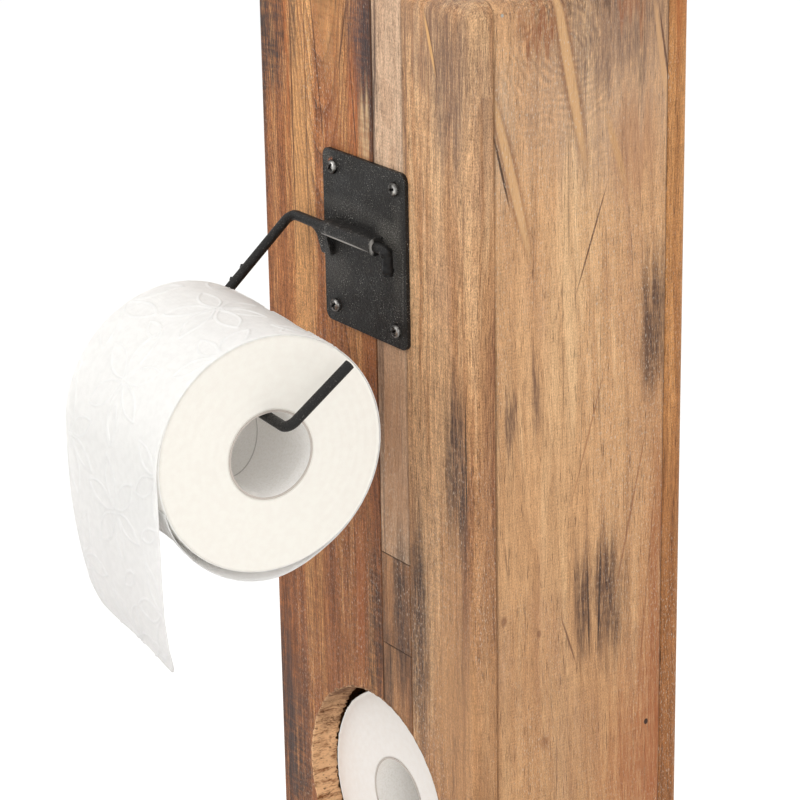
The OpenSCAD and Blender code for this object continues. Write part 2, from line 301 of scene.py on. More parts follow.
@dataclass(frozen=True)
class Mark:
    """A long mark in a surface, such as a scorch, a streak or a crack.

    Its middle and half-size are in mm in the object's frame, and its turn is in degrees about x, y and z.
    """

    mid: Triple
    half: Triple
    colour: str
    strength: float
    turn: Triple = (0.0, 0.0, 0.0)
    soft: float = 1.2
    crisp: bool = False

    @classmethod
    def front(cls, x: float, z: float, wide: float, tall: float, colour: str, strength: float, turn: float = 0.0,
              soft: float = 1.2, crisp: bool = False) -> "Mark":
        """Mark on the front boards, turned about y."""
        return cls((x, FRONT_Y, z), (wide, THROUGH, tall), colour, strength, (0.0, turn, 0.0), soft, crisp)

    @classmethod
    def side(cls, y: float, z: float, wide: float, tall: float, colour: str, strength: float, turn: float = 0.0,
             soft: float = 1.2, crisp: bool = False) -> "Mark":
        """Mark on the right side board, turned about x."""
        return cls((SIDE_X, y, z), (THROUGH, wide, tall), colour, strength, (turn, 0.0, 0.0), soft, crisp)


def marked(tree: bpy.types.NodeTree, colour: Any, here: Any, smeared: Any, marks: Sequence[Mark],
           streaks: Any) -> Any:
    """Lays marks over a colour.

    Args:
        tree: Shader tree.
        colour: Output with the colour so far.
        here: Output with the place in the object's frame, for crisp marks.
        smeared: The same place smeared along the grain, for the others.
        marks: Marks to lay, the last on top.
        streaks: Output from 0 to 1 that breaks the marks up.

    Returns:
        The output with the final colour.
    """
    for mark in marks:
        local = put(tree, MAPPING, {
            "Vector": here if mark.crisp else smeared, "Location": Vector(mark.mid) * MM,
            "Scale": Vector(mark.half) * MM,
            "Rotation": [math.radians(a) for a in mark.turn],
        }, vector_type="TEXTURE")
        far = put(tree, VECTOR, {0: local}, "Value", operation="LENGTH")
        reach = put(tree, RANGE, {0: far, 1: 1.0 + mark.soft / 2, 2: 1.0 - mark.soft / 2, 3: 0.0, 4: mark.strength},
                    interpolation_type="SMOOTHSTEP")
        share = reach if mark.crisp else put(tree, MATHS, {0: reach, 1: streaks}, operation="MULTIPLY")
        colour = put(tree, MIX, {0: share, 6: colour, 7: srgb(mark.colour)}, 2, data_type="RGBA")
    return colour


@dataclass(frozen=True)
class Arches:
    """Cathedral figure of a flat-sawn plank: nested arches that open upwards, on the front face.

    Each arch is a parabola about an upright line. Lengths are in mm. The noise that bends the grain also moves
    all of it by the two lengths in "moved", rightwards and upwards.
    """

    middle: float
    curve: float
    apex: float
    step: float
    strength: float = 0.6
    fade: tuple[float, float] = (650.0, 715.0)
    moved: tuple[float, float] = (10.0, 25.0)


@dataclass(frozen=True)
class SawArcs:
    """Curved marks of a round saw on a side board, as rings about one place. Lengths are in mm."""

    middle: Triple
    step: float = 4.2
    reach: float = 64.0
    strength: float = 0.3

    def over(self, tree: bpy.types.NodeTree, wood: Any, here: Any) -> Any:
        """Lays the marks over the wood.

        Args:
            tree: Shader tree.
            wood: Output with the colour so far.
            here: Output with the place in the object's frame.

        Returns:
            The output with the colour shaded by the marks.
        """
        # Noise about 0.5 moves the rings by up to half of this, in metres, either way.
        bend = Vector((0.0, 0.03, 0.03))
        bent = put(tree, VECTOR, {0: stretched(tree, here, (28.0, 28.0, 28.0), 3.0, 1), 1: bend, 2: here},
                   operation="MULTIPLY_ADD")
        away = put(tree, VECTOR, {0: bent, 1: Vector(self.middle) * MM + bend / 2}, operation="SUBTRACT")
        away = put(tree, VECTOR, {0: away, 1: (0.0, 1.0, 1.0)}, operation="MULTIPLY")
        far = put(tree, VECTOR, {0: away}, "Value", operation="LENGTH")
        wave = put(tree, MATHS, {0: far, 1: math.tau / (self.step * MM)}, operation="MULTIPLY")
        wave = put(tree, MATHS, {0: wave}, operation="SINE")
        near = put(tree, RANGE, {0: far, 1: self.reach * MM, 2: 0.3 * self.reach * MM, 3: 0.0, 4: self.strength})
        patchy = put(tree, RANGE, {0: stretched(tree, here, (160.0, 160.0, 160.0), 3.0), 1: 0.38, 2: 0.62})
        near = put(tree, MATHS, {0: near, 1: patchy}, operation="MULTIPLY")
        shade = put(tree, MATHS, {0: wave, 1: near, 2: 1.0}, operation="MULTIPLY_ADD")
        return put(tree, VECTOR, {0: wood, "Scale": shade}, operation="SCALE")


@dataclass(frozen=True)
class SawnTeak(Finish):
    """Reclaimed teak, sawn, brushed, scorched in places and oiled.

    Slow bands and rings give the plank its figure, fibres and pores give the close grain, and the oil leaves a
    dull sheen that breaks on the fibres.
    """

    pale: str
    mid: str
    dark: str
    seed: float
    across: int = 0
    lying: bool = False
    pith: Triple = (60.0, 40.0, 0.0)
    lean: Triple = (2.0, 1.0, 0.0)
    ring: float = 6.0
    ring_share: float = 0.4
    contrast: float = 1.0
    spread: float = 0.6
    seams: tuple[float, float] = (0.9, 0.9)
    hatch: float = 0.12
    marks: tuple[Mark, ...] = ()
    arches: Arches | None = None
    arcs: SawArcs | None = None

    def material(self, low: Vector, high: Vector) -> bpy.types.Material:
        """Makes the board's material.

        Args:
            low: Lowest corner of the board in metres.
            high: Highest corner.

        Returns:
            The material.
        """
        made, tree, shader, here = self.begin()
        parts = put(tree, SPLIT, {0: here}, "X").node.outputs
        # A lying board's grain runs along x, an upright one's along z. The bundles of fibres are 4 mm wide, the
        # fibres 1.2 mm and the fine ones 0.4 mm, with flecks of 0.5 by 1 mm. Real ones are finer: these are as
        # coarse as they need to be to show.
        laid = put(tree, MAPPING, {"Vector": here, "Rotation": (0.0, math.pi / 2, 0.0)}) if self.lying else here
        moved = put(tree, VECTOR, {0: laid, 1: (self.seed, self.seed * 0.7, self.seed * 1.3)}, operation="ADD")
        waver = stretched(tree, moved, (11.0, 11.0, 3.5), 2.0, 1)
        grain = put(tree, VECTOR, {0: waver, 1: (0.02, 0.02, 0.03), 2: moved}, operation="MULTIPLY_ADD")
        coarse = stretched(tree, grain, (230.0, 230.0, 6.0), 3.0)
        fibre = stretched(tree, grain, (850.0, 850.0, 26.0), 3.0)
        fine = stretched(tree, grain, (2400.0, 2400.0, 130.0), 2.0)
        speck = stretched(tree, moved, (2100.0, 2100.0, 1100.0), 2.0)
        wood = self.figure(tree, laid, waver, grain, (coarse, fibre, fine))
        # Fibres, flecks, a soft mottle and the saw's marks across the grain make the wood lighter and darker.
        mottle = stretched(tree, moved, (150.0, 150.0, 60.0), 3.0)
        sawn = stretched(tree, moved, (45.0, 45.0, 1300.0), 2.0)
        layers = ((coarse, 0.2), (fibre, 0.4), (fine, 1.1), (speck, 1.6), (mottle, 0.3), (sawn, 0.35))
        shade = 1.0 - 0.5 * self.contrast * sum(share for _, share in layers)
        for layer, share in layers:
            shade = put(tree, MATHS, {0: layer, 1: share * self.contrast, 2: shade}, operation="MULTIPLY_ADD")
        wood = put(tree, VECTOR, {0: wood, "Scale": shade}, operation="SCALE")
        if self.arcs:
            wood = self.arcs.over(tree, wood, here)
        # Worn grey patches, where the old surface was left in the saw's low spots.
        old = put(tree, RANGE, {0: stretched(tree, grain, (34.0, 34.0, 9.0), 4.0), 1: 0.52, 2: 0.66})
        old = put(tree, MATHS, {0: old, 1: put(tree, RANGE, {0: fibre, 1: 0.35, 2: 0.6, 3: 0.25})},
                  operation="MULTIPLY")
        wood = put(tree, MIX, {0: old, 6: wood, 7: (0.80, 0.76, 0.79, 1.0)}, 2, data_type="RGBA",
                   blend_type="MULTIPLY")
        # Painted shade: the wood is made a little darker and redder towards the foot, standing in for the light falling
        # off down the post.
        foot = put(tree, RANGE, {0: parts["Z"], 1: 0.70, 2: 0.36})
        wood = put(tree, MIX, {0: foot, 6: wood, 7: (0.80, 0.73, 0.66, 1.0)}, 2, data_type="RGBA",
                   blend_type="MULTIPLY")
        # Thin dark lines where resin and dirt sit between two growth rings.
        level = put(tree, MATHS, {0: stretched(tree, grain, (95.0, 95.0, 3.2), 2.0), 1: 0.5}, operation="SUBTRACT")
        lines = put(tree, RANGE, {0: put(tree, MATHS, {0: level}, operation="ABSOLUTE"), 1: 0.009, 2: 0.0})
        lines = put(tree, MATHS, {0: lines, 1: put(tree, RANGE, {0: fibre, 1: 0.45, 2: 0.62})}, operation="MULTIPLY")
        # Open pores, seen as short dark dashes along the grain.
        pores = put(tree, RANGE, {0: stretched(tree, moved, (1500.0, 1500.0, 95.0), 1.0), 1: 0.66, 2: 0.75})
        dirt = put(tree, MATHS, {0: lines, 1: 0.6, 2: put(tree, MATHS, {0: pores, 1: 0.6}, operation="MULTIPLY")},
                   operation="MULTIPLY_ADD", use_clamp=True)
        wood = put(tree, MIX, {0: dirt, 6: wood, 7: srgb("4A2E1E")}, 2, data_type="RGBA")
        # Scorch and stains, smeared along the fibres so that their ends run out in streaks.
        smear = put(tree, VECTOR, {0: stretched(tree, moved, (260.0, 260.0, 9.0), 3.0, 1), 1: (0.5, 0.5, 0.5)},
                    operation="SUBTRACT")
        smeared = put(tree, VECTOR, {0: smear, 1: (0.014, 0.014, 0.07), 2: here}, operation="MULTIPLY_ADD")
        streaks = put(tree, RANGE, {0: put(tree, MATHS, {0: fibre, 1: fine}, operation="ADD"), 1: 1.2, 2: 0.88,
                                    3: 0.5, 4: 1.0})
        hatch = put(tree, RANGE, {0: stretched(tree, moved, (80.0, 80.0, 460.0), 2.0), 1: 0.62, 2: 0.42,
                                  3: 1.0 - self.hatch})
        streaks = put(tree, MATHS, {0: streaks, 1: hatch}, operation="MULTIPLY")
        wood = marked(tree, wood, here, smeared, self.marks, streaks)
        # Lime dust left by sanding, caught in the open fibres.
        dust = put(tree, RANGE, {0: stretched(tree, moved, (1700.0, 1700.0, 500.0), 2.0), 1: 0.58, 2: 0.72})
        patchy = put(tree, RANGE, {0: stretched(tree, moved, (24.0, 24.0, 9.0), 2.0), 1: 0.42, 2: 0.62, 4: 0.7})
        wood = put(tree, MIX, {0: put(tree, MATHS, {0: dust, 1: patchy}, operation="MULTIPLY"), 6: wood,
                               7: srgb("DDCAB6")}, 2, data_type="RGBA")
        # Dirt gathered along the edges that meet another board.
        sides = [put(tree, MATHS, {0: parts[self.across], 1: low[self.across]}, operation="SUBTRACT"),
                 put(tree, MATHS, {0: high[self.across], 1: parts[self.across]}, operation="SUBTRACT")]
        for distance, dirty in zip(sides, self.seams):
            if dirty:
                seam = put(tree, RANGE, {0: distance, 1: 1.5 * MM, 2: 0.3 * MM, 3: 0.0, 4: dirty},
                           interpolation_type="SMOOTHSTEP")
                seam = put(tree, MATHS, {0: seam, 1: put(tree, RANGE, {0: coarse, 1: 0.3, 2: 0.55, 3: 0.3})},
                           operation="MULTIPLY")
                wood = put(tree, MIX, {0: seam, 6: wood, 7: srgb("452A19")}, 2, data_type="RGBA")
        height = put(tree, MATHS, {0: put(tree, MATHS, {0: fibre, 1: fine}, operation="ADD"), 1: dirt},
                     operation="SUBTRACT")
        height = put(tree, MATHS, {0: speck, 1: 0.5, 2: height}, operation="MULTIPLY_ADD")
        feed(tree, shader, {
            "Base Color": wood, "Roughness": put(tree, RANGE, {0: fibre, 1: 0.3, 2: 0.7, 3: 0.66, 4: 0.48}),
            "Normal": put(tree, BUMP, {"Strength": 0.8, "Distance": 0.6 * MM, "Height": height}),
            "Specular IOR Level": 0.25})
        return made

    def figure(self, tree: bpy.types.NodeTree, here: Any, waver: Any, grain: Any, fibres: Sequence[Any]) -> Any:
        """Bands, growth rings and arches of the plank.

        Args:
            tree: Shader tree.
            here: Output with the place in the object's frame.
            waver: Output with slow noise that bends the grain.
            grain: Output with the place bent by it.
            fibres: Outputs with the coarse, middling and fine fibres' noise.

        Returns:
            The output with the colour.
        """
        # Slow bands and single fibres run from dark heartwood over the plank's own colour to pale wood.
        fibre = fibres[1]
        layers = ((stretched(tree, grain, (24.0, 24.0, 2.4), 3.0), 2.3), (fibres[0], 1.0), (fibre, 0.5),
                  (fibres[2], 0.4))
        tone = 0.5 - 0.5 * self.spread * sum(share for _, share in layers)
        for layer, share in layers:
            tone = put(tree, MATHS, {0: layer, 1: share * self.spread, 2: tone}, operation="MULTIPLY_ADD")
        wood = put(tree, MIX, {0: put(tree, RANGE, {0: tone, 1: 0.20, 2: 0.48}, interpolation_type="SMOOTHSTEP"),
                               6: srgb(self.dark), 7: srgb(self.mid)}, 2, data_type="RGBA")
        wood = put(tree, MIX, {0: put(tree, RANGE, {0: tone, 1: 0.48, 2: 0.74}, interpolation_type="SMOOTHSTEP"),
                               6: wood, 7: srgb(self.pale)}, 2, data_type="RGBA")
        # Growth rings about a leaning pith, which a flat saw cut turns into arches and long stripes.
        bent = put(tree, VECTOR, {0: waver, 1: (0.02, 0.02, 0.05), 2: here}, operation="MULTIPLY_ADD")
        log_place = put(tree, MAPPING, {"Vector": bent, "Location": Vector(self.pith) * MM,
                                        "Rotation": [math.radians(a) for a in self.lean]}, vector_type="TEXTURE")
        rings = put(tree, WAVE, {
            "Vector": log_place, "Scale": WAVE_PERIOD / (self.ring * MM), "Distortion": 2.6, "Detail": 3.0,
            "Detail Scale": 0.35,
        }, 1, wave_type="RINGS", rings_direction="Z", wave_profile="SAW")
        late = put(tree, RANGE, {0: rings, 1: 0.35, 2: 1.0, 3: 0.0, 4: self.ring_share})
        wood = put(tree, MIX, {0: late, 6: wood, 7: srgb(self.dark)}, 2, data_type="RGBA")
        if self.arches:
            arch = self.arches
            ragged = put(tree, VECTOR, {0: stretched(tree, here, (90.0, 90.0, 30.0), 2.0, 1),
                                        1: (0.008, 0.0, 0.02), 2: bent}, operation="MULTIPLY_ADD")
            parts = put(tree, SPLIT, {0: ragged}, "X").node.outputs
            side = put(tree, MATHS, {0: parts["X"], 1: (arch.middle + arch.moved[0]) * MM}, operation="SUBTRACT")
            side = put(tree, MATHS, {0: side, 1: side}, operation="MULTIPLY")
            rise = put(tree, MATHS, {0: parts["Z"], 1: (arch.apex + arch.moved[1]) * MM}, operation="SUBTRACT")
            turns = put(tree, MATHS, {0: side, 1: -1.0 / (arch.curve * MM), 2: rise}, operation="MULTIPLY_ADD")
            turns = put(tree, MATHS, {0: turns, 1: 1.0 / (arch.step * MM)}, operation="MULTIPLY")
            cycle = put(tree, MATHS, {0: turns}, operation="FRACT")
            upper = put(tree, RANGE, {0: parts["Z"], 1: arch.fade[0] * MM, 2: arch.fade[1] * MM})
            zone = put(tree, RANGE, {0: cycle, 1: 0.35, 2: 1.0, 3: 0.0, 4: 0.75})
            zone = put(tree, MATHS, {0: zone, 1: upper}, operation="MULTIPLY")
            wood = put(tree, MIX, {0: zone, 6: wood, 7: srgb(self.dark)}, 2, data_type="RGBA")
            edge = put(tree, MATHS, {0: turns, 1: 0.5}, operation="PINGPONG")
            edge = put(tree, RANGE, {0: edge, 1: 0.07, 2: 0.01, 3: 0.0, 4: arch.strength})
            edge = put(tree, MATHS, {0: edge, 1: put(tree, RANGE, {0: fibre, 1: 0.35, 2: 0.55})},
                       operation="MULTIPLY")
            edge = put(tree, MATHS, {0: edge, 1: upper}, operation="MULTIPLY")
            wood = put(tree, MIX, {0: edge, 6: wood, 7: srgb("4E2A15")}, 2, data_type="RGBA")
        return wood


@dataclass(frozen=True)
class TornTeak(Finish):
    """Bare end grain and torn fibres left by a hole saw: rough, unoiled, burnt where the saw ran against it, with
    painted shade along the top of each wall.
    """

    def material(self) -> bpy.types.Material:
        """Makes the torn wood.

        Returns:
            The material.
        """
        made, tree, shader, here = self.begin()
        ridges = stretched(tree, here, (420.0, 60.0, 420.0), 4.0)
        fluff = stretched(tree, here, (1500.0, 500.0, 1500.0), 3.0)
        both = put(tree, MATHS, {0: fluff, 1: 0.5, 2: ridges}, operation="MULTIPLY_ADD")
        skin = put(tree, MIX, {0: put(tree, RANGE, {0: both, 1: 0.52, 2: 0.78}), 6: srgb("7E5030"), 7: srgb("E0B286")},
                   2, data_type="RGBA")
        burnt = put(tree, RANGE, {0: stretched(tree, here, (60.0, 60.0, 60.0), 3.0), 1: 0.50, 2: 0.64, 4: 0.7})
        burnt = put(tree, MATHS, {0: burnt, 1: put(tree, RANGE, {0: fluff, 1: 0.6, 2: 0.4, 3: 0.3})},
                    operation="MULTIPLY")
        skin = put(tree, MIX, {0: burnt, 6: skin, 7: srgb("5B3923")}, 2, data_type="RGBA")
        # Painted shade: the upper part of each wall, which faces down into the hole, is made darker; "spoke" points
        # from the hole's middle to the wall.
        spoke = put(tree, ATTRIBUTE, out="Vector", attribute_name="spoke")
        upper = put(tree, RANGE, {0: put(tree, SPLIT, {0: spoke}, "Z"), 1: 0.25, 2: 0.8, 3: 0.0, 4: 0.9})
        upper = put(tree, MATHS, {0: upper, 1: put(tree, RANGE, {0: ridges, 1: 0.62, 2: 0.4, 3: 0.5})},
                    operation="MULTIPLY")
        skin = put(tree, MIX, {0: upper, 6: skin, 7: srgb("6A4A38")}, 2, data_type="RGBA")
        pits = put(tree, RANGE, {0: stretched(tree, here, (600.0, 380.0, 600.0), 1.0), 1: 0.66, 2: 0.74, 4: 0.7})
        skin = put(tree, MIX, {0: pits, 6: skin, 7: srgb("4B2C17")}, 2, data_type="RGBA")
        feed(tree, shader, {
            "Base Color": skin, "Roughness": 0.85, "Specular IOR Level": 0.2,
            "Normal": put(tree, BUMP, {"Strength": 0.9, "Distance": 1.0 * MM, "Height": both})})
        return made


@dataclass(frozen=True)
class BlackPaint(Finish):
    """Satin black paint sprayed on hot-rolled steel.

    It has an orange-peel skin, pale dust in it, and steel shining through where the paint is worn; some of its marks
    also paint highlights and shadows.
    """

    colour: str = "191613"
    speckle: float = 0.85
    marks: tuple[Mark, ...] = ()

    def material(self) -> bpy.types.Material:
        """Makes the paint.

        Returns:
            The material.
        """
        made, tree, shader, here = self.begin()
        cloud = stretched(tree, here, (70.0, 70.0, 70.0), 3.0)
        skin = put(tree, MIX, {0: put(tree, RANGE, {0: cloud, 1: 0.35, 2: 0.7}), 6: srgb("120F0D"),
                               7: srgb(self.colour)}, 2, data_type="RGBA")
        dust = put(tree, RANGE, {0: stretched(tree, here, (1500.0, 1500.0, 1500.0), 1.0), 1: 0.63, 2: 0.70,
                                 4: self.speckle})
        dust = put(tree, MATHS, {0: dust, 1: put(tree, RANGE, {0: stretched(tree, here, (160.0, 160.0, 160.0), 3.0),
                                                               1: 0.40, 2: 0.66, 3: 0.15})}, operation="MULTIPLY")
        skin = put(tree, MIX, {0: dust, 6: skin, 7: srgb("C4BEB4")}, 2, data_type="RGBA")
        peel = stretched(tree, here, (520.0, 520.0, 520.0), 2.0)
        broken = put(tree, RANGE, {0: stretched(tree, here, (1500.0, 1500.0, 1500.0), 2.0), 1: 0.42, 2: 0.62,
                                   3: 0.1})
        skin = marked(tree, skin, here, here, self.marks, broken)
        grit = stretched(tree, here, (1700.0, 1700.0, 1700.0), 2.0)
        height = put(tree, MATHS, {0: grit, 1: 0.7, 2: peel}, operation="MULTIPLY_ADD")
        height = put(tree, MATHS, {0: dust, 1: 0.6, 2: height}, operation="MULTIPLY_ADD")
        feed(tree, shader, {
            "Base Color": skin, "Roughness": put(tree, RANGE, {0: cloud, 1: 0.3, 2: 0.7, 3: 0.42, 4: 0.62}),
            "Normal": put(tree, BUMP, {"Strength": 1.0, "Distance": 0.5 * MM, "Height": height}),
            "Specular IOR Level": 0.26})
        return made


@dataclass(frozen=True)
class WornSteel(Finish):
    """Machined steel that has darkened in use: dirt in the hollows and fine turning marks on the metal.

    "sunk" names the piece's own attribute of its hollows, and the field after it the attribute of its bright places,
    where a highlight is painted.
    """

    colour: str
    roughness: float = 0.38
    sunk: str = ""
    rubbed: str = ""

    def material(self) -> bpy.types.Material:
        """Makes the steel.

        Returns:
            The material.
        """
        made, tree, shader, here = self.begin()
        dirt = put(tree, RANGE, {0: stretched(tree, here, (420.0, 420.0, 420.0), 3.0), 1: 0.50, 2: 0.72})
        if self.sunk:
            low = put(tree, ATTRIBUTE, out="Fac", attribute_name=self.sunk)
            dirt = put(tree, MATHS, {0: dirt, 1: low}, operation="MAXIMUM")
        skin = put(tree, MIX, {0: dirt, 6: srgb(self.colour), 7: srgb("1F1D1C")}, 2, data_type="RGBA")
        # Painted highlight: the places of the second attribute get a bright steel colour.
        if self.rubbed:
            painted_highlight = put(tree, ATTRIBUTE, out="Fac", attribute_name=self.rubbed)
            skin = put(tree, MIX, {0: painted_highlight, 6: skin, 7: srgb("E2DFDA")}, 2, data_type="RGBA")
        turned = stretched(tree, here, (2400.0, 2400.0, 2400.0))
        feed(tree, shader, {
            "Base Color": skin, "Metallic": 1.0,
            "Roughness": put(tree, RANGE, {0: dirt, 3: self.roughness, 4: 0.7}),
            "Normal": put(tree, BUMP, {"Strength": 0.3, "Distance": 0.2 * MM, "Height": turned})})
        return made


@dataclass(frozen=True)
class Tissue(Finish):
    """Creped toilet tissue: matt, slightly warm, with a fine crepe across the sheet and a soft mottle.

    "glow" is the share of light let through, "pressed" names the attribute of the embossing, whose raised lines get a
    painted highlight, and the last field is the two heights in mm between which a free end gets a painted shade, greyer
    downwards.
    """

    colour: str
    shade: str
    crepe: float = 0.25
    glow: float = 0.0
    pressed: str = ""
    end_shade_heights: tuple[float, float] | None = None

    def material(self) -> bpy.types.Material:
        """Makes the paper.

        Returns:
            The material.
        """
        made, tree, shader, here = self.begin()
        mottle = put(tree, RANGE, {0: stretched(tree, here, (260.0, 260.0, 260.0), 4.0), 1: 0.38, 2: 0.62})
        skin = put(tree, MIX, {0: mottle, 6: srgb(self.colour), 7: srgb(self.shade)}, 2, data_type="RGBA")
        if self.pressed:
            # Painted highlight: the embossing's raised lines are made whiter than the tissue between them.
            line = put(tree, ATTRIBUTE, out="Fac", attribute_name=self.pressed)
            skin = put(tree, MIX, {0: put(tree, MATHS, {0: line, 1: 0.6}, operation="MULTIPLY"), 6: skin,
                                   7: srgb("FFFFFE")}, 2, data_type="RGBA")
        crepe = self.crepe
        if self.end_shade_heights:
            # Painted shade: the free end is made greyer towards its foot, and its crepe deeper.
            end_shade = put(tree, RANGE, {0: put(tree, SPLIT, {0: here}, "Z"), 1: self.end_shade_heights[0] * MM,
                                     2: self.end_shade_heights[1] * MM})
            skin = put(tree, MIX, {0: end_shade, 6: skin, 7: (0.92, 0.92, 0.93, 1.0)}, 2, data_type="RGBA",
                       blend_type="MULTIPLY")
            crepe = put(tree, MATHS, {0: end_shade, 1: 0.5, 2: self.crepe}, operation="MULTIPLY_ADD")
        fluff = stretched(tree, here, (1900.0, 1900.0, 1900.0), 3.0)
        feed(tree, shader, {
            "Base Color": skin, "Roughness": 0.95, "Specular IOR Level": 0.15,
            "Normal": put(tree, BUMP, {"Strength": crepe, "Distance": 0.3 * MM, "Height": fluff})})
        if self.glow:
            # One or two plies alone let light through, so the loose turn is bright inside too.
            through = put(tree, "ShaderNodeBsdfTranslucent", {"Color": skin})
            both = put(tree, "ShaderNodeMixShader", {0: self.glow, 1: shader.outputs["BSDF"], 2: through})
            tree.links.new(both, tree.nodes["Material Output"].inputs["Surface"])
        return made


@dataclass(frozen=True)
class GreyCard(Finish):
    """Grey recycled board wound in a spiral: flecks of fibre, and the thin dark seam of the spiral.

    The pitch of the spiral and half the core's length are in mm, and the phase is in turns.
    """

    centre: Triple
    axis: Triple
    pitch: float = -90.0
    phase: float = 0.65
    half: float = 49.0

    def material(self) -> bpy.types.Material:
        """Makes the card.

        Returns:
            The material.
        """
        made, tree, shader, here = self.begin()
        turn = Vector((1.0, 0.0, 0.0)).rotation_difference(Vector(self.axis)).to_euler()
        local = put(tree, MAPPING, {"Vector": here, "Location": Vector(self.centre) * MM, "Rotation": turn},
                    vector_type="TEXTURE")
        along = put(tree, SPLIT, {0: local}, "X")
        angle = put(tree, MATHS, {0: along.node.outputs["Y"], 1: along.node.outputs["Z"]}, operation="ARCTAN2")
        turns = put(tree, MATHS, {0: along, 1: 1.0 / (self.pitch * MM),
                                  2: put(tree, MATHS, {0: angle, 1: 1.0 / math.tau, 2: self.phase},
                                         operation="MULTIPLY_ADD")}, operation="MULTIPLY_ADD")
        seam = put(tree, MATHS, {0: turns, 1: 0.5}, operation="PINGPONG")
        seam = put(tree, RANGE, {0: seam, 1: 0.004, 2: 0.008, 3: 0.55, 4: 0.0})
        flecks = put(tree, RANGE, {0: stretched(tree, here, (900.0, 900.0, 900.0), 3.0), 1: 0.4, 2: 0.7})
        skin = put(tree, MIX, {0: flecks, 6: srgb("FEFBF7"), 7: srgb("F6F2EC")}, 2, data_type="RGBA")
        skin = put(tree, MIX, {0: seam, 6: skin, 7: srgb("9A928B")}, 2, data_type="RGBA")
        # The cut ends are greyer than the skin, from 0.6 to 0.2 mm before the end.
        cut = put(tree, RANGE, {0: put(tree, MATHS, {0: along}, operation="ABSOLUTE"), 1: (self.half - 0.6) * MM,
                                2: (self.half - 0.2) * MM})
        skin = put(tree, MIX, {0: cut, 6: skin, 7: srgb("BFB5AC")}, 2, data_type="RGBA")
        feed(tree, shader, {
            "Base Color": skin, "Roughness": 0.9,
            "Normal": put(tree, BUMP, {"Strength": 0.3, "Distance": 0.3 * MM, "Height": flecks})})
        return made


# Colours of the boards' scorches, their resin streaks and the lime on them.
SCORCH = "372A28"
GREY_SCORCH = "6C5449"
ORANGE = "B4622F"
LIME = "B9A38C"


